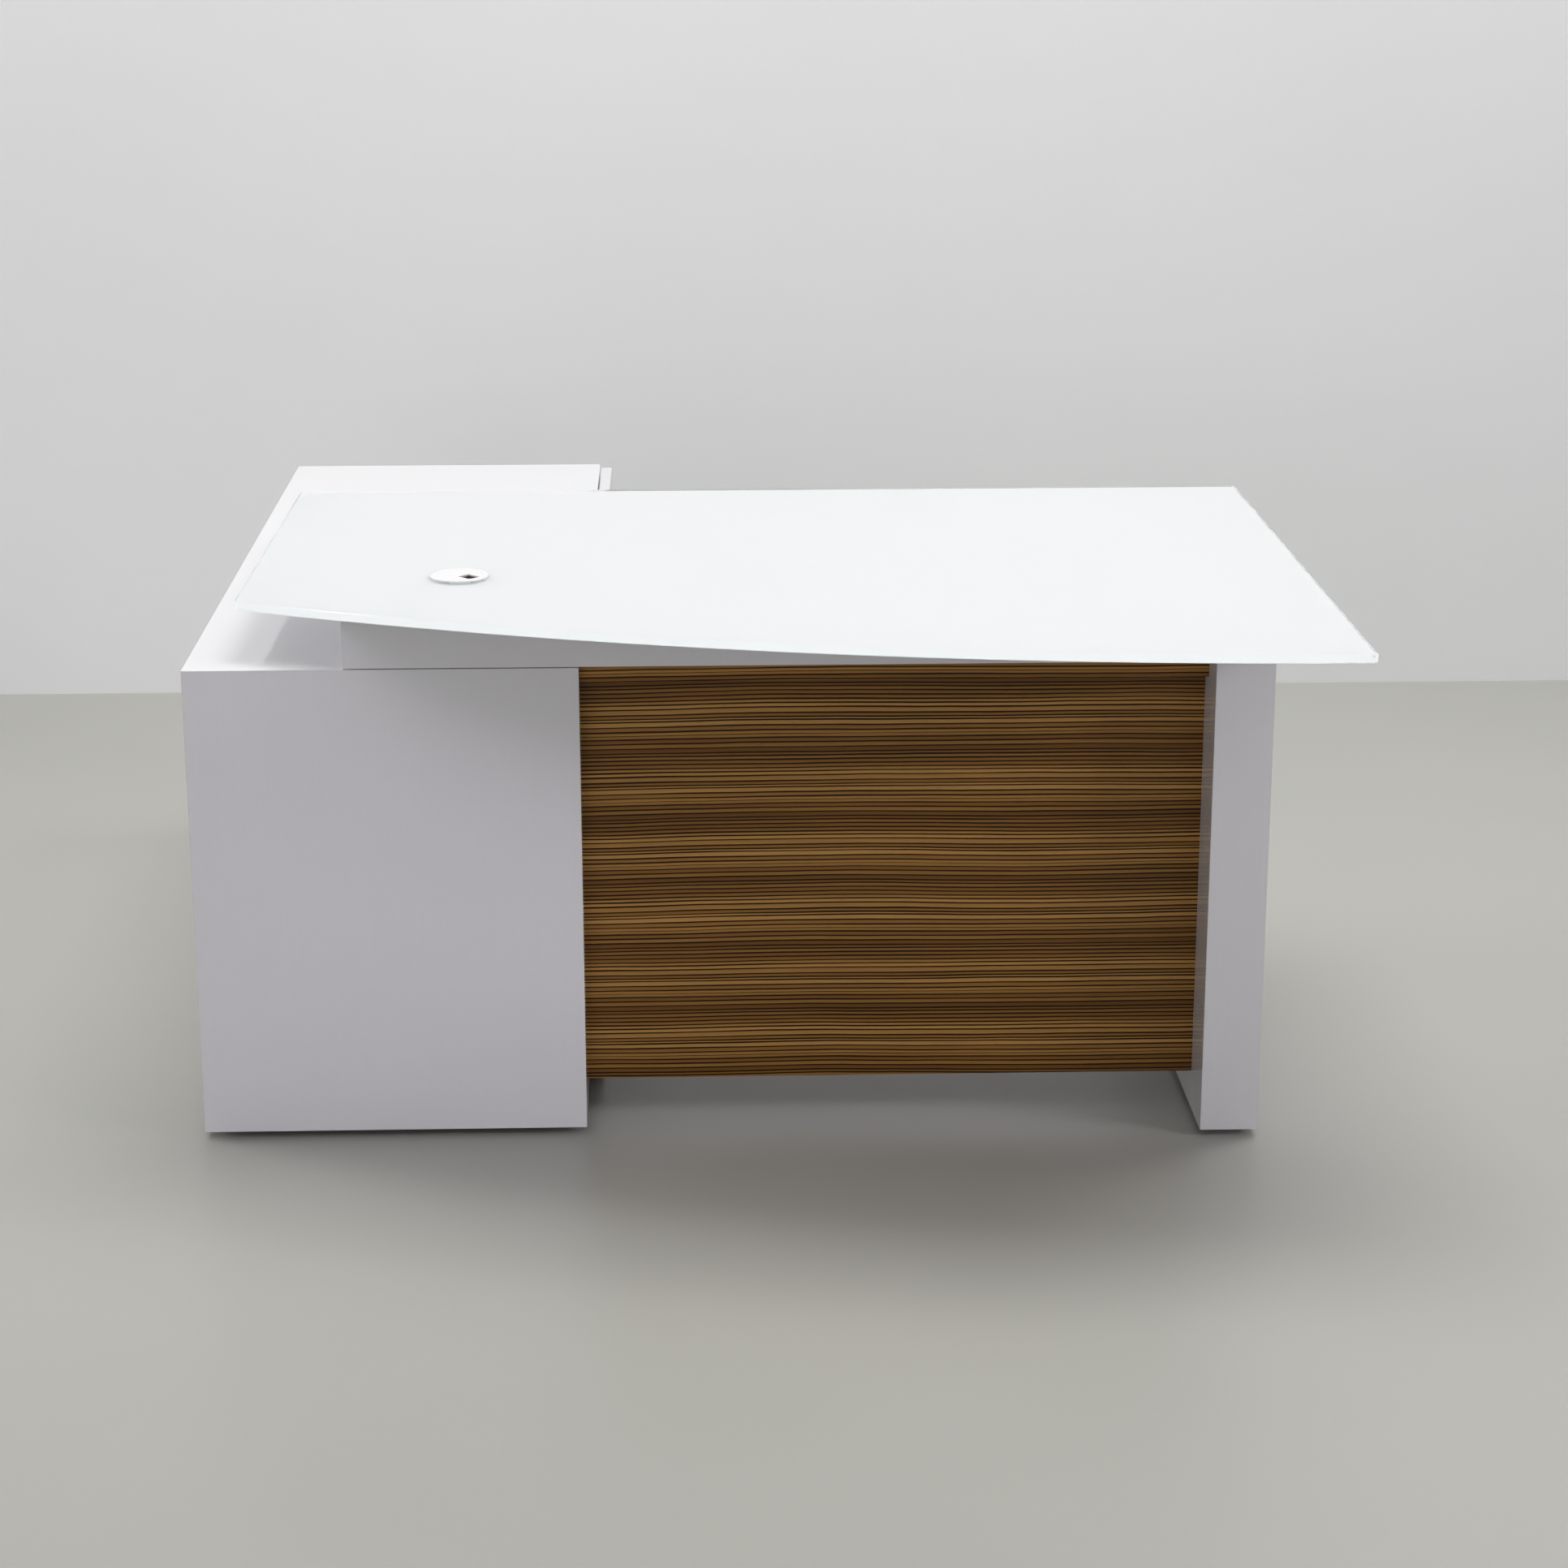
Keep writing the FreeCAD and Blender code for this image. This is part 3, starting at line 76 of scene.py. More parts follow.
class Shade:
    """A material being put together: one Principled shader and what feeds it."""

    def __init__(self, name, colour, **sockets):
        self.mat = bpy.data.materials.new(name)
        self.mat.use_nodes = True
        self.tree = self.mat.node_tree
        self.tree.nodes.clear()
        self.out = self.new("OutputMaterial")
        self.bsdf = self.new("BsdfPrincipled")
        self.join(self.bsdf.outputs[0], self.out.inputs["Surface"])
        self.bsdf.inputs["Base Color"].default_value = (*colour, 1)
        for key, value in sockets.items():
            self.bsdf.inputs[key.replace("_", " ")].default_value = value
        self.place = self.new("TexCoord").outputs["Object"]
        self.mat.diffuse_color = (*colour, 1)

    def new(self, kind, **props):
        n = self.tree.nodes.new("ShaderNode" + kind)
        for k, v in props.items():
            setattr(n, k, v)
        return n

    def join(self, a, b):
        self.tree.links.new(a, b)

    def put(self, socket, value):
        if hasattr(value, "is_linked"):
            self.join(value, socket)
        elif isinstance(value, (tuple, list)) and len(value) == 3 and socket.type == "RGBA":
            socket.default_value = (*value, 1)
        else:
            socket.default_value = value

    def math(self, operation, a, b=None, c=None, clamp=False):
        n = self.new("Math", operation=operation, use_clamp=clamp)
        for i, v in enumerate((a, b, c)):
            if v is not None:
                self.put(n.inputs[i], v)
        return n.outputs[0]

    def fit(self, value, low, high, to_low=0.0, to_high=1.0, smooth=False):
        n = self.new("MapRange", clamp=True)
        if smooth:
            n.interpolation_type = "SMOOTHSTEP"
        for i, v in enumerate((value, low, high, to_low, to_high)):
            self.put(n.inputs[i], v)
        return n.outputs[0]

    def stretch(self, scale, vector=None, move=(0, 0, 0)):
        n = self.new("Mapping")
        self.put(n.inputs["Vector"], vector or self.place)
        n.inputs["Scale"].default_value = scale
        n.inputs["Location"].default_value = move
        return n.outputs[0]

    def split(self, vector=None):
        n = self.new("SeparateXYZ")
        self.put(n.inputs[0], vector or self.place)
        return n.outputs

    def weave(self, x, y, z):
        n = self.new("CombineXYZ")
        for i, v in enumerate((x, y, z)):
            self.put(n.inputs[i], v)
        return n.outputs[0]

    def noise(self, vector=None, scale=1.0, detail=2.0, rough=0.5, twist=0.0, line=None):
        n = self.new("TexNoise", noise_dimensions="1D" if line is not None else "3D")
        if line is not None:
            self.put(n.inputs["W"], line)
        else:
            self.put(n.inputs["Vector"], vector or self.place)
        n.inputs["Scale"].default_value = scale
        n.inputs["Detail"].default_value = detail
        n.inputs["Roughness"].default_value = rough
        n.inputs["Distortion"].default_value = twist
        return n.outputs[0]

    def cells(self, vector=None, scale=1.0, feature="F1", line=None, output="Distance"):
        n = self.new("TexVoronoi", voronoi_dimensions="1D" if line is not None else "3D")
        n.feature = feature
        if line is not None:
            self.put(n.inputs["W"], line)
        else:
            self.put(n.inputs["Vector"], vector or self.place)
        n.inputs["Scale"].default_value = scale
        return n.outputs[output]

    def ramp(self, value, stops, kind="LINEAR"):
        n = self.new("ValToRGB")
        n.color_ramp.interpolation = kind
        bar = n.color_ramp.elements
        while len(bar) < len(stops):
            bar.new(0.5)
        for e, (p, c) in zip(bar, stops):
            e.position = p
            e.color = (*c, 1)
        self.put(n.inputs[0], value)
        return n.outputs[0]

    def mix(self, share, a, b, blend="MIX"):
        n = self.new("Mix", data_type="RGBA", blend_type=blend)
        self.put(n.inputs[0], share)
        self.put(n.inputs[6], a)
        self.put(n.inputs[7], b)
        return n.outputs[2]

    def arris(self, radius, samples=4):
        """1 within about that radius of a sharp edge, 0 on the flats."""
        soft = self.new("Bevel", samples=samples)
        soft.inputs["Radius"].default_value = radius
        flat = self.new("NewGeometry").outputs["Normal"]
        dot = self.new("VectorMath", operation="DOT_PRODUCT")
        self.join(soft.outputs[0], dot.inputs[0])
        self.join(flat, dot.inputs[1])
        return self.fit(dot.outputs["Value"], 0.995, 0.90)

    def bump(self, height, strength, distance, under=None):
        n = self.new("Bump")
        n.inputs["Strength"].default_value = strength
        n.inputs["Distance"].default_value = distance
        self.put(n.inputs["Height"], height)
        if under is not None:
            self.join(under, n.inputs["Normal"])
        return n.outputs[0]

    def feed(self, **sockets):
        for key, value in sockets.items():
            self.put(self.bsdf.inputs[key.replace("_", " ")], value)
        return self.mat


def make_laminate():
    """Glossy white laminate: faint upright drawing lines from the press plate, soft
    cloudiness, wiped-over gloss and a warm core showing thinly at the arrises."""
    s = Shade("white_laminate", (0.71, 0.70, 0.72), IOR=1.5)
    cloud = s.noise(scale=2.3, detail=3, rough=0.55)
    drawn = s.noise(s.stretch((620, 620, 5)), scale=1.0, detail=2, rough=0.6)
    white = s.mix(s.fit(cloud, 0.3, 0.7), (0.696, 0.686, 0.706), (0.726, 0.717, 0.736))
    white = s.mix(s.fit(drawn, 0.35, 0.65, 0.0, 0.10), white, (0.63, 0.62, 0.64))
    edge = s.math("MULTIPLY", s.arris(0.0011), s.fit(s.noise(scale=60, detail=3), 0.35, 0.7, 0.25, 0.75))
    white = s.mix(edge, white, (0.66, 0.61, 0.53))
    wiped = s.noise(s.stretch((7, 7, 2.2)), scale=1.0, detail=4, rough=0.62, twist=0.6)
    gloss = s.fit(wiped, 0.3, 0.75, 0.055, 0.125)
    peel = s.noise(scale=190, detail=2, rough=0.5)
    return s.feed(Base_Color=white, Roughness=gloss, Normal=s.bump(peel, 0.05, 0.0004))


def make_zebrano():
    """Composed zebrano veneer laid level: a leaf of light strips and one of dark strips,
    repeating every 93 mm, each strip closed by a fine dark line, with hairline fibres
    and short pores."""
    s = Shade("zebrano", (0.27, 0.13, 0.045), IOR=1.45, Specular_IOR_Level=0.2)
    x, y, z = s.split()
    along = s.math("ADD", x, s.math("MULTIPLY", y, 0.8))
    level = z
    for turn_x, turn_z, reach, seed in (
        (0.8, 1.2, 0.026, 3.1),
        (2.6, 6.0, 0.0080, 7.7),
        (7.5, 30.0, 0.0020, 1.3),
        (17.0, 110.0, 0.0006, 5.9),
    ):
        sway = s.noise(
            s.weave(s.math("MULTIPLY", along, turn_x), seed, s.math("MULTIPLY", z, turn_z)), detail=1.5, rough=0.5
        )
        level = s.math("MULTIPLY_ADD", s.math("SUBTRACT", sway, 0.5), reach, level)
    turns = s.math("MULTIPLY_ADD", level, 1 / 0.093, -0.02)
    count = s.math("MULTIPLY", s.math("FRACT", turns), 16.0)
    strip = s.new("TexVoronoi", voronoi_dimensions="1D")
    border = s.new("TexVoronoi", voronoi_dimensions="1D", feature="DISTANCE_TO_EDGE")
    for n in (strip, border):
        n.inputs["Scale"].default_value = 1.0
        n.inputs["Randomness"].default_value = 0.76
        s.join(count, n.inputs["W"])
    own = s.split(strip.outputs["Color"])[0]
    seat = strip.outputs["W"]
    light = s.math("MULTIPLY", s.fit(seat, 7.9, 8.5, 1.0, 0.0), s.fit(seat, 0.2, 0.5))
    swell = s.noise(line=s.math("MULTIPLY", level, 13.0), detail=2, rough=0.5)
    patch = s.noise(
        s.weave(s.math("MULTIPLY", along, 1.3), 9.0, s.math("MULTIPLY", level, 22.0)), detail=2, rough=0.5
    )
    tone = s.math("MULTIPLY_ADD", light, 0.25, 0.10)
    tone = s.math("MULTIPLY_ADD", own, 0.34, tone)
    tone = s.math("MULTIPLY_ADD", swell, 0.18, tone)
    tone = s.math("MULTIPLY_ADD", patch, 0.24, tone)
    tone = s.math("MULTIPLY_ADD", s.math("SUBTRACT", count, seat), -0.09, tone)
    ground = s.ramp(
        tone,
        [
            (0.22, (0.126, 0.0540, 0.0111)),
            (0.40, (0.200, 0.089, 0.0201)),
            (0.58, (0.310, 0.148, 0.0355)),
            (0.76, (0.428, 0.218, 0.0572)),
            (0.94, (0.542, 0.290, 0.0858)),
        ],
    )
    fibre = s.noise(
        s.weave(s.math("MULTIPLY", along, 8.0), 0.0, s.math("MULTIPLY", level, 800.0)), detail=3, rough=0.6
    )
    wood = s.mix(s.fit(fibre, 0.40, 0.78, 0.0, 0.34), ground, (0.090, 0.038, 0.008))
    weight = s.noise(
        s.weave(s.math("MULTIPLY", along, 2.2), 2.0, s.math("MULTIPLY", level, 75.0)), detail=2, rough=0.6
    )
    wide = s.fit(weight, 0.30, 0.70, 0.14, 0.26)
    line = s.fit(s.math("DIVIDE", border.outputs["Distance"], wide), 1.10, 0.72, smooth=True)
    strong = s.fit(weight, 0.25, 0.45, 0.90, 1.0)
    wood = s.mix(s.math("MULTIPLY", line, strong), wood, (0.021, 0.0080, 0.0010))
    pore = s.noise(
        s.weave(s.math("MULTIPLY", along, 45.0), 4.0, s.math("MULTIPLY", level, 1500.0)), detail=1
    )
    pore = s.fit(pore, 0.66, 0.74)
    wood = s.mix(s.math("MULTIPLY", pore, 0.45), wood, (0.036, 0.014, 0.0025))
    rough = s.fit(s.math("MULTIPLY_ADD", line, 0.4, fibre), 0.3, 1.0, 0.30, 0.46)
    grain = s.math("MULTIPLY_ADD", line, -0.6, s.math("MULTIPLY_ADD", pore, -0.5, fibre))
    return s.feed(Base_Color=wood, Roughness=rough, Normal=s.bump(grain, 0.22, 0.0003))


def make_glass():
    """Clear polished float glass with a faint aqua body colour; its ground and polished
    edge is a little hazy."""
    s = Shade("clear_glass", (0.985, 0.995, 0.995), IOR=1.33, Transmission_Weight=1.0)
    wiped = s.noise(scale=5.0, detail=4, rough=0.6, twist=0.5)
    lap = s.noise(s.stretch((40, 40, 900)), scale=1.0, detail=3, rough=0.6)
    steep = s.split(s.new("NewGeometry").outputs["True Normal"])[2]
    ground = s.fit(s.math("ABSOLUTE", steep), 0.95, 0.80)
    tint = s.mix(s.fit(s.noise(scale=1.7), 0.3, 0.7), (0.990, 0.998, 0.998), (0.996, 1.0, 1.0))
    haze = s.math("MULTIPLY", ground, s.fit(lap, 0.3, 0.7, 0.09, 0.13))
    body = s.new("VolumeAbsorption")
    body.inputs["Color"].default_value = (0.45, 0.90, 0.90, 1)
    body.inputs["Density"].default_value = 1.2
    s.join(body.outputs[0], s.out.inputs["Volume"])
    return s.feed(Base_Color=tint, Roughness=s.math("ADD", haze, s.fit(wiped, 0.35, 0.75, 0.0, 0.03)))


def make_painted_shade_liner():
    """The inside of the cable liner: the white moulding given a matt grey-brown as painted shade, standing in for the
    shade deep inside the liner.
    """
    s = Shade("liner_painted_shade", (0.68, 0.61, 0.54), IOR=1.49)
    grain = s.noise(scale=2200.0, detail=2, rough=0.6)
    # painted shade: a grey-brown in place of the white plastic's own colour
    painted_shade_tone = s.mix(s.fit(grain, 0.3, 0.7), (0.640, 0.570, 0.500), (0.720, 0.650, 0.580))
    return s.feed(Base_Color=painted_shade_tone, Roughness=s.fit(grain, 0.3, 0.7, 0.45, 0.60), Normal=s.bump(grain, 0.12, 0.00008))


def make_paint():
    """The white enamel under the glass: even, with the faint mottle of a sprayed coat."""
    s = Shade("glass_paint", (0.90, 0.91, 0.91), IOR=1.45)
    mottle = s.noise(scale=14.0, detail=4, rough=0.6)
    speck = s.noise(scale=900.0, detail=1)
    white = s.mix(s.fit(mottle, 0.3, 0.7), (0.944, 0.945, 0.951), (0.956, 0.957, 0.962))
    white = s.mix(s.fit(speck, 0.62, 0.75, 0.0, 0.10), white, (0.88, 0.89, 0.89))
    return s.feed(Base_Color=white, Roughness=s.fit(mottle, 0.3, 0.7, 0.42, 0.55), Normal=s.bump(speck, 0.05, 0.0001))


def make_plastic():
    """Moulded white plastic with a fine spark-eroded grain."""
    s = Shade("white_plastic", (0.86, 0.86, 0.85), IOR=1.49)
    grain = s.noise(scale=2600.0, detail=2, rough=0.6)
    cloud = s.noise(scale=22.0, detail=3)
    white = s.mix(s.fit(cloud, 0.3, 0.7), (0.84, 0.84, 0.835), (0.88, 0.88, 0.875))
    edge = s.math("MULTIPLY", s.arris(0.0006), 0.35)
    white = s.mix(edge, white, (0.94, 0.94, 0.94))
    return s.feed(Base_Color=white, Roughness=s.fit(grain, 0.3, 0.7, 0.26, 0.40), Normal=s.bump(grain, 0.10, 0.00008))


def make_board():
    """Light grey melamine with a fine pearl emboss and a slightly darker edge tape."""
    s = Shade("drawer_board", (0.50, 0.50, 0.49), IOR=1.48)
    pearl = s.noise(scale=1500.0, detail=3, rough=0.65)
    cloud = s.noise(scale=5.0, detail=3)
    fleck = s.cells(scale=700.0)
    grey = s.mix(s.fit(cloud, 0.3, 0.7), (0.47, 0.47, 0.46), (0.53, 0.53, 0.52))
    grey = s.mix(s.fit(fleck, 0.05, 0.35, 0.16, 0.0), grey, (0.36, 0.36, 0.35))
    grey = s.mix(s.math("MULTIPLY", s.arris(0.0014), 0.55), grey, (0.40, 0.40, 0.39))
    return s.feed(Base_Color=grey, Roughness=s.fit(pearl, 0.3, 0.7, 0.40, 0.58), Normal=s.bump(pearl, 0.18, 0.00012))


def make_steel():
    """Bright zinc on steel sheet: faint spangle, roll lines along the length, bare arrises."""
    s = Shade("zinc_steel", (0.62, 0.63, 0.65), Metallic=1.0)
    spangle = s.split(s.cells(scale=260.0, output="Color"))[0]
    rolled = s.noise(s.stretch((14, 1300, 1300)), scale=1.0, detail=2, rough=0.6)
    cloud = s.noise(scale=40.0, detail=3)
    zinc = s.mix(spangle, (0.57, 0.58, 0.61), (0.66, 0.67, 0.69))
    zinc = s.mix(s.fit(cloud, 0.35, 0.7, 0.0, 0.35), zinc, (0.62, 0.62, 0.58))
    zinc = s.mix(s.math("MULTIPLY", s.arris(0.0005), 0.6), zinc, (0.80, 0.80, 0.81))
    rough = s.math("MULTIPLY_ADD", spangle, 0.10, s.fit(rolled, 0.3, 0.7, 0.24, 0.36))
    return s.feed(Base_Color=zinc, Roughness=rough, Normal=s.bump(rolled, 0.10, 0.00008))


def make_aluminium():
    """Satin anodised aluminium, brushed round the bar."""
    s = Shade("handle_aluminium", (0.74, 0.74, 0.75), Metallic=1.0)
    brushed = s.noise(s.stretch((380, 380, 380)), scale=1.0, detail=4, rough=0.7)
    fine = s.noise(s.stretch((2400, 160, 160)), scale=1.0, detail=2, rough=0.6)
    cloud = s.noise(scale=30.0, detail=2)
    metal = s.mix(s.fit(brushed, 0.3, 0.7), (0.70, 0.70, 0.715), (0.78, 0.78, 0.785))
    metal = s.mix(s.math("MULTIPLY", s.arris(0.0005), 0.5), metal, (0.90, 0.90, 0.90))
    rough = s.math("MULTIPLY_ADD", cloud, 0.06, s.fit(fine, 0.3, 0.7, 0.22, 0.34))
    return s.feed(Base_Color=metal, Roughness=rough, Normal=s.bump(fine, 0.08, 0.00006))


def make_chrome():
    """Polished foot with a little floor dust and scuffing."""
    s = Shade("foot_chrome", (0.80, 0.80, 0.82), Metallic=1.0)
    scuff = s.noise(scale=180.0, detail=4, rough=0.65)
    dust = s.noise(scale=35.0, detail=3)
    metal = s.mix(s.fit(dust, 0.4, 0.75, 0.0, 0.30), (0.80, 0.80, 0.82), (0.55, 0.53, 0.50))
    return s.feed(Base_Color=metal, Roughness=s.fit(scuff, 0.4, 0.8, 0.06, 0.24), Normal=s.bump(scuff, 0.04, 0.0001))


def make_pad():
    """Clear soft pad, slightly milky."""
    s = Shade("clear_pad", (0.86, 0.90, 0.90), IOR=1.43, Transmission_Weight=0.75)
    milk = s.noise(scale=120.0, detail=3)
    tint = s.mix(s.fit(milk, 0.3, 0.7), (0.82, 0.87, 0.87), (0.92, 0.94, 0.94))
    return s.feed(Base_Color=tint, Roughness=s.fit(milk, 0.3, 0.7, 0.18, 0.32))


MATERIALS = {
    "white_laminate": make_laminate(),
    "zebrano": make_zebrano(),
    "white_glass": make_glass(),
    "white_plastic": make_plastic(),
    "drawer_board": make_board(),
    "zinc_steel": make_steel(),
    "handle_aluminium": make_aluminium(),
    "foot_chrome": make_chrome(),
    "clear_pad": make_pad(),
}
PAINT = make_paint()

for part in frame["record"]["subparts"]:
    o = NODES[part["node"]]
    o.data.materials.clear()
    o.data.materials.append(MATERIALS[part["material_slot"]])


# painted shade: the inside of the grommet gets the darker grey-brown material (the liner's bore, the notch walls and
# the cap's underside)
PAINTED_SHADE_INSIDE = make_painted_shade_liner()
GROMMET = at(361, 209, 0)
for name in ("grommet_liner", "grommet_cap"):
    shell = NODES[name].data
    # the painted-shade material goes in as a second slot beside the white plastic
    shell.materials.append(PAINTED_SHADE_INSIDE)
    for face in shell.polygons:
        out = Vector((face.center.x - GROMMET.x, face.center.y - GROMMET.y, 0))
        if name == "grommet_liner":
            inner = face.center.z < 0.7495 and out.dot(face.normal) < 0
        else:
            inner = face.normal.z < -0.5 or (abs(face.normal.z) < 0.5 and out.length < 0.0308)
        if inner:
            face.material_index = 1


# ---------------------------------------------------------------- softened board edges


def soften(name, width, segments=2):
    """Rounds a board's arrises slightly, as any sanded or banded edge is."""
    o = NODES[name]
    weld = o.modifiers.new("weld", "WELD")
    weld.merge_threshold = 1e-6
    flat = o.modifiers.new("flats", "DECIMATE")
    flat.decimate_type = "DISSOLVE"
    flat.angle_limit = math.radians(0.5)
    b = o.modifiers.new("arris", "BEVEL")
    b.width = width
    b.segments = segments
    b.limit_method = "ANGLE"
    b.angle_limit = math.radians(35)
    b.use_clamp_overlap = True
    n = o.modifiers.new("even", "WEIGHTED_NORMAL")
    n.keep_sharp = False
    n.weight = 100


for part in frame["record"]["subparts"]:
    name, slot = part["node"], part["material_slot"]
    if slot == "white_laminate" and name not in ("leg_blocks",):
        soften(name, 0.0007)
    elif slot == "zebrano":
        soften(name, 0.0006)
    elif slot == "drawer_board" and name.endswith("_bottom"):
        soften(name, 0.0004)
soften("grommet_liner", 0.0012, 3)
soften("grommet_cap", 0.0004)


# ---------------------------------------------------------------- paint under the glass


def round_corners(pts, corners, radius):
    """The same outline with an arc of that radius in place of each corner named."""
    out = []
    for i, p in enumerate(pts):
        if i not in corners:
            out.append(p)
            continue
        a, b = (pts[i - 1] - p).normalized(), (pts[(i + 1) % len(pts)] - p).normalized()
        half = a.angle(b) / 2
        middle = p + (a + b).normalized() * (radius / math.sin(half))
        first, last = p + a * (radius / math.tan(half)), p + b * (radius / math.tan(half))
        for k in range(9):
            out.append(middle + (first - middle).lerp(last - middle, k / 8).normalized() * radius)
    return out


def glass_outline(inset):
    """The top's outline, bowed front included, that far inside the glass edge (mm)."""
    cx, cy, radius = 1546.0, 3030.0, 3315.0 - inset
    x0, x1, y1 = 65.0 + inset, 1546.0 - inset, 831.0 - inset
    a0, a1 = math.asin((x0 - cx) / radius), math.asin((x1 - cx) / radius)
    pts = [at(x1, y1, 0), at(x0 + 9.0, y1, 0)]
    for k in range(97):
        a = a0 + (a1 - a0) * k / 96
        pts.append(at(cx + radius * math.sin(a), cy - radius * math.cos(a), 0))
    return round_corners(pts, (0, 1, 2, len(pts) - 1), (7.0 - inset) / 1000)


def make_paint_film():
    bm = bmesh.new()
    low, high = 0.73806, 0.73836
    outer = glass_outline(1.6)
    hole = [at(361 + 35.4 * math.cos(2 * math.pi * k / 72), 209 + 35.4 * math.sin(2 * math.pi * k / 72), 0) for k in range(72)]
    rings = []
    for pts in (outer, hole):
        vs = [bm.verts.new((p.x, p.y, high)) for p in pts]
        rings.append([bm.edges.new((vs[i], vs[(i + 1) % len(vs)])) for i in range(len(vs))])
    fill = bmesh.ops.triangle_fill(bm, use_beauty=True, use_dissolve=False, edges=rings[0] + rings[1])
    faces = [f for f in fill["geom"] if isinstance(f, bmesh.types.BMFace)]
    bmesh.ops.recalc_face_normals(bm, faces=faces)
    if faces[0].normal.z < 0:
        bmesh.ops.reverse_faces(bm, faces=faces)
    thick = bmesh.ops.extrude_face_region(bm, geom=faces)
    for v in [g for g in thick["geom"] if isinstance(g, bmesh.types.BMVert)]:
        v.co.z = low
    bmesh.ops.recalc_face_normals(bm, faces=bm.faces[:])
    me = bpy.data.meshes.new("glass_paint")
    bm.to_mesh(me)
    bm.free()
    o = bpy.data.objects.new("glass_paint", me)
    home.objects.link(o)
    me.materials.append(PAINT)
    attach(o, "desk")
    return o


make_paint_film()


# ---------------------------------------------------------------- floor, wall and light


def stage_plane(name, corners, mat):
    me = bpy.data.meshes.new(name)
    me.from_pydata(corners, [], [(0, 1, 2, 3)])
    o = bpy.data.objects.new(name, me)
    home.objects.link(o)
    me.materials.append(mat)
    return o


s = Shade("floor", (0.37, 0.366, 0.336), Specular_IOR_Level=0.35)
mottle = s.noise(scale=1.3, detail=2, rough=0.5)
stone = s.mix(s.fit(mottle, 0.2, 0.8), (0.385, 0.381, 0.348), (0.404, 0.399, 0.366))
FLOOR = s.feed(Base_Color=stone, Roughness=s.fit(mottle, 0.2, 0.8, 0.33, 0.39))
stage_plane("floor", [(-30, -30, 0), (30, -30, 0), (30, 30, 0), (-30, 30, 0)], FLOOR)

# the wall shows from the room side only, so that views from behind it are open
s = Shade("wall", (0.90, 0.90, 0.905), Roughness=0.9)
mottle = s.noise(scale=1.1, detail=4, rough=0.6)
s.feed(Base_Color=s.mix(s.fit(mottle, 0.3, 0.7), (0.91, 0.91, 0.917), (0.93, 0.93, 0.937)))
clear = s.new("BsdfTransparent")
pick = s.new("MixShader")
s.join(s.new("NewGeometry").outputs["Backfacing"], pick.inputs[0])
s.join(s.bsdf.outputs[0], pick.inputs[1])
s.join(clear.outputs[0], pick.inputs[2])
s.join(pick.outputs[0], s.out.inputs["Surface"])
WALL_Y = 1.89
wall = stage_plane("wall", [(-12, WALL_Y, 0), (12, WALL_Y, 0), (12, WALL_Y, 6), (-12, WALL_Y, 6)], s.mat)
wall.visible_shadow = False
wall.visible_diffuse = False

# plain screens beyond the other three sides, a backdrop for views from behind and beside
s = Shade("screen", (0.80, 0.80, 0.80), Roughness=0.9)
mottle = s.noise(scale=0.6, detail=2, rough=0.5)
shine = s.new("Emission")
s.put(shine.inputs["Color"], s.mix(s.fit(mottle, 0.3, 0.7), (0.97, 0.97, 0.97), (1.0, 1.0, 1.0)))
shine.inputs["Strength"].default_value = 0.56
pick = s.new("MixShader")
s.join(s.new("NewGeometry").outputs["Backfacing"], pick.inputs[0])
s.join(shine.outputs[0], pick.inputs[1])
s.join(s.new("BsdfTransparent").outputs[0], pick.inputs[2])
s.join(pick.outputs[0], s.out.inputs["Surface"])
s.mat.cycles.emission_sampling = "NONE"
for name, a, b in (
    ("screen_left", (-9, -9), (-9, 9)),
    ("screen_front", (9, -9), (-9, -9)),
    ("screen_right", (9, 9), (9, -9)),
):
    screen = stage_plane(name, [(*a, 0), (*b, 0), (*b, 7), (*a, 7)], s.mat)
    screen.visible_shadow = False
    screen.visible_diffuse = False

# a bright room, brighter low on the left where its windows are
world = bpy.data.worlds.new("room")
world.use_nodes = True
sky = world.node_tree
glow = sky.nodes["Background"]
glow.inputs["Color"].default_value = (0.98, 0.99, 1.0, 1)
toward = sky.nodes.new("ShaderNodeSeparateXYZ")
sky.links.new(sky.nodes.new("ShaderNodeTexCoord").outputs["Generated"], toward.inputs[0])


def room(value, low, high, to_low, to_high):
    n = sky.nodes.new("ShaderNodeMapRange")
    n.interpolation_type = "SMOOTHSTEP"
    for i, v in enumerate((low, high, to_low, to_high)):
        n.inputs[i + 1].default_value = v
    sky.links.new(value, n.inputs[0])
    return n.outputs[0]


side = sky.nodes.new("ShaderNodeMath")
side.operation = "MULTIPLY"
sky.links.new(room(toward.outputs["X"], -0.15, -0.80, 0.0, 1.0), side.inputs[0])
sky.links.new(room(toward.outputs["Y"], -0.20, 0.25, 0.0, 1.0), side.inputs[1])
sill = sky.nodes.new("ShaderNodeMath")
sill.operation = "MULTIPLY"
sky.links.new(side.outputs[0], sill.inputs[0])
sky.links.new(room(toward.outputs["Z"], 0.08, 0.22, 0.0, 1.0), sill.inputs[1])
window = sky.nodes.new("ShaderNodeMath")
window.operation = "MULTIPLY_ADD"
sky.links.new(sill.outputs[0], window.inputs[0])
sky.links.new(room(toward.outputs["Z"], 0.34, 0.56, 1.4, 0.0), window.inputs[1])
sky.links.new(room(toward.outputs["Y"], 0.0, 0.5, 0.30, 0.62), window.inputs[2])
sky.links.new(window.outputs[0], glow.inputs["Strength"])
scene.world = world


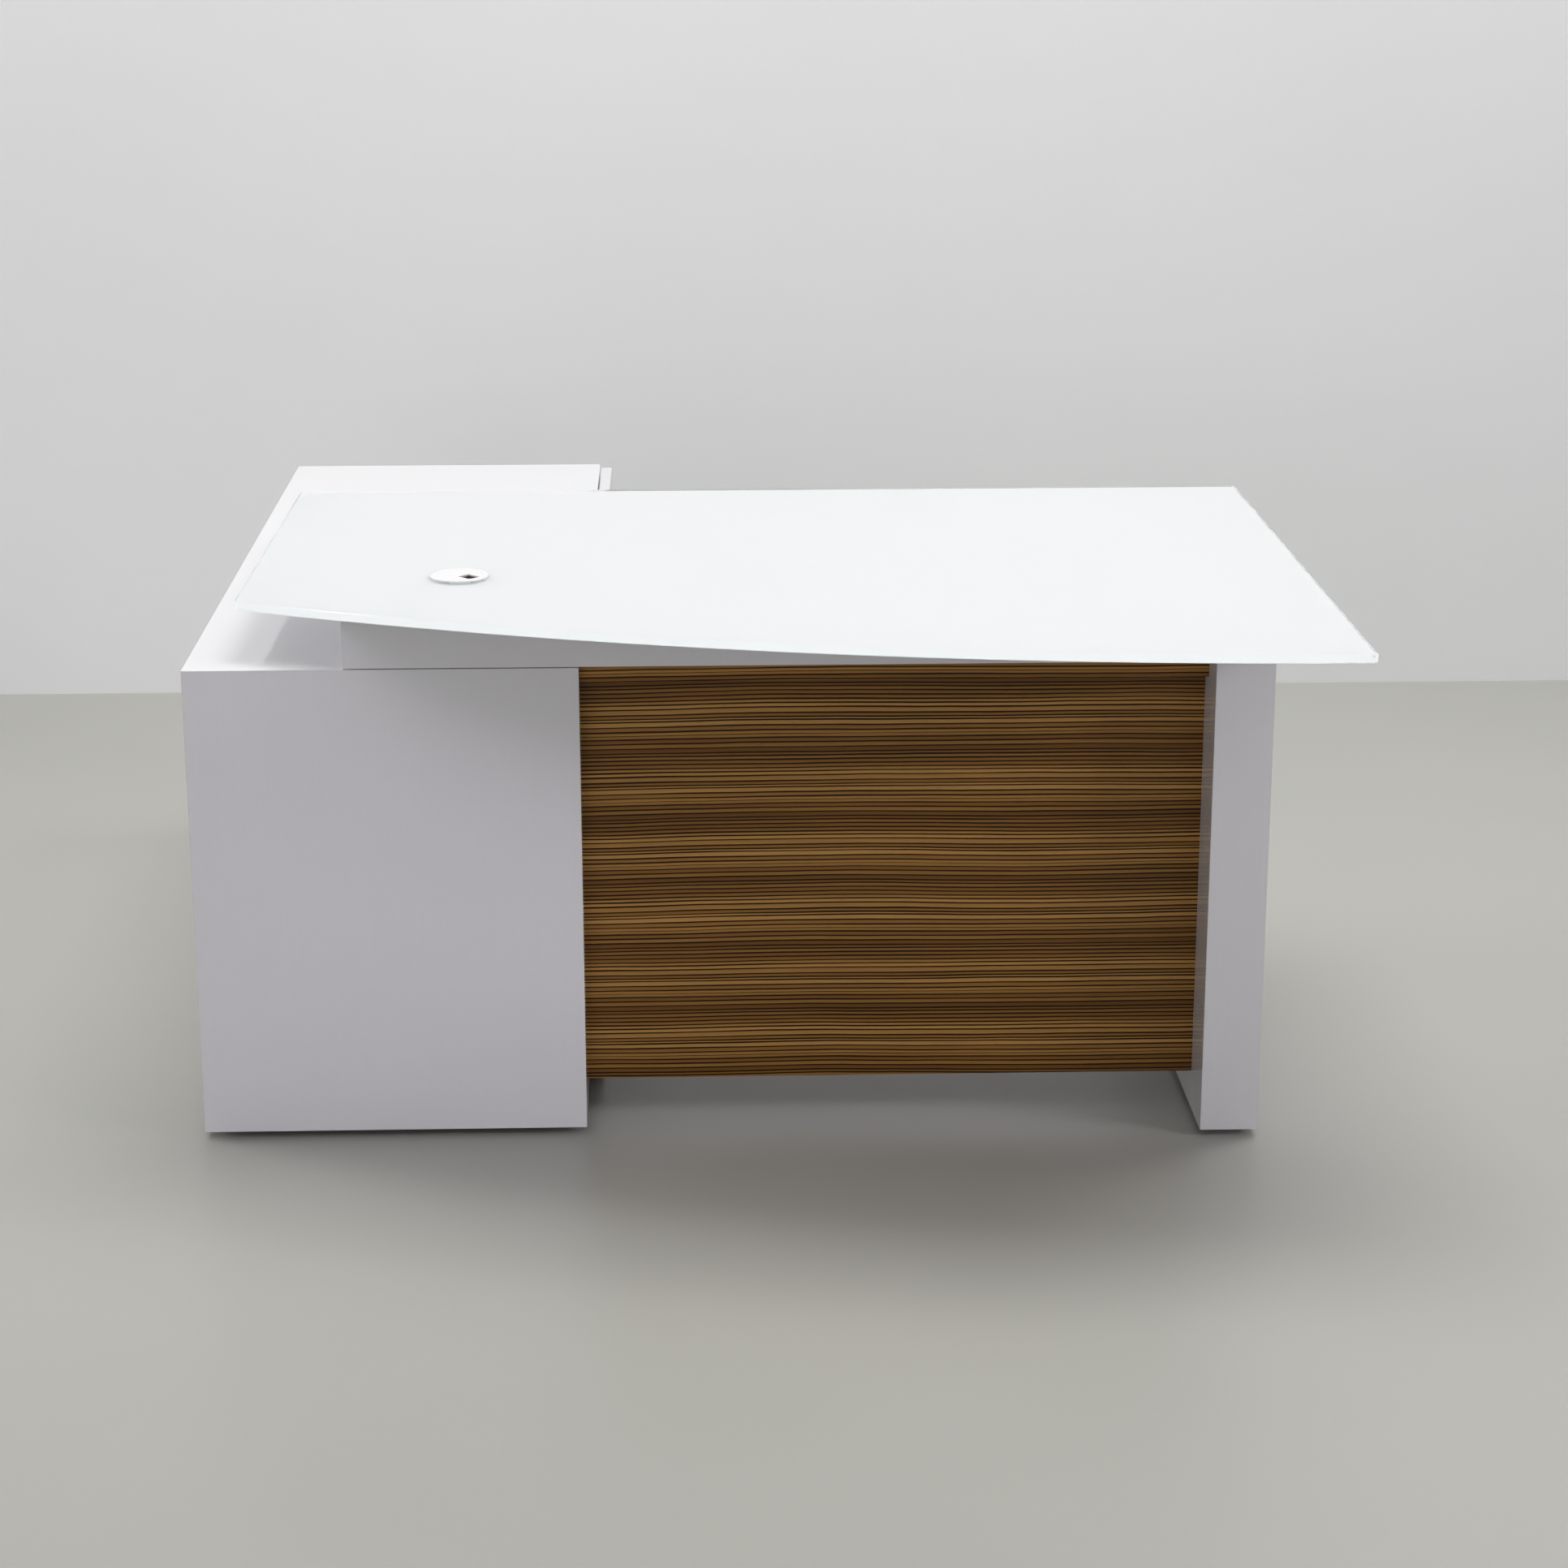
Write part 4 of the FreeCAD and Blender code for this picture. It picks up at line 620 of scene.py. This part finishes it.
def lamp(name, place, aim, size, power, spread=180, colour=(1, 1, 1), shows=True, only=None):
    """An area lamp; with only= it is flagged off everything but those nodes."""
    data = bpy.data.lights.new(name, "AREA")
    data.shape = "RECTANGLE"
    data.size, data.size_y = size
    data.energy = power
    data.spread = math.radians(spread)
    data.color = colour
    o = bpy.data.objects.new(name, data)
    home.objects.link(o)
    o.location = place
    o.rotation_mode = "QUATERNION"
    o.rotation_quaternion = (Vector(aim) - Vector(place)).to_track_quat("-Z", "Y")
    o.visible_glossy = shows
    if only:
        lit = bpy.data.collections.new(name)
        for n in only:
            lit.objects.link(NODES[n])
        o.light_linking.receiver_collection = lit
    return o


DAY = (1.0, 0.975, 1.07)
lamp("overhead", (0.40, 0.60, 5.5), (0.20, 0.0, 0.0), (3.0, 2.0), 147)
lamp("overhead_right", (2.6, 0.70, 4.6), (1.0, 0.1, 0.0), (1.2, 1.2), 48)
lamp("tube_left", (-2.85, 0.20, 4.4), (-0.7, 0.20, 0.7), (2.0, 0.14), 47)
lamp("window_left", (-4.6, 1.00, 1.35), (-0.6, -0.2, 0.7), (2.4, 0.9), 5, spread=40, shows=False)
lamp("shelf_left", (-4.6, 0.30, 2.0), (-0.65, -0.35, 0.68), (2.4, 0.9), 8, spread=40, shows=False, only=("credenza_top",))
lamp("front_right", (2.8, -3.4, 3.6), (0.0, -0.4, 0.4), (2.4, 1.6), 12)
lamp("window_right", (4.6, -2.5, 2.4), (0.3, -0.5, 0.5), (1.4, 0.8), 9, spread=70, colour=DAY, shows=False)
lamp("front_low", (-1.9, -6.5, 1.5), (-0.7, -0.4, 0.4), (3.0, 1.4), 24, colour=DAY, shows=False)
lamp("front_lowest", (-1.2, -7.0, 0.8), (-0.6, -0.4, 0.4), (3.0, 1.2), 17, colour=DAY, shows=False)
lamp("front_high", (0.75, -2.4, 3.8), (-0.1, -0.6, 0.3), (1.6, 1.1), 18, colour=DAY, shows=False,
     only=("credenza_front_end", "apron_front"))

film = scene.view_settings
film.view_transform = "Standard"
film.look = "None"
film.exposure = 0.0
film.gamma = 1.0

# the brightest whites roll off gently, as on any camera, so that the tops keep their shading
film.use_curve_mapping = True
WHITE = 1.5
film.curve_mapping.white_level = (WHITE, WHITE, WHITE)
roll = film.curve_mapping.curves[3].points
for level, shown in ((0.40, 0.40), (0.80, 0.80), (0.90, 0.888), (1.00, 0.944), (1.12, 0.978), (1.26, 0.994)):
    roll.new(level / WHITE, shown)
for spot in roll:
    spot.handle_type = "VECTOR"
film.curve_mapping.update()
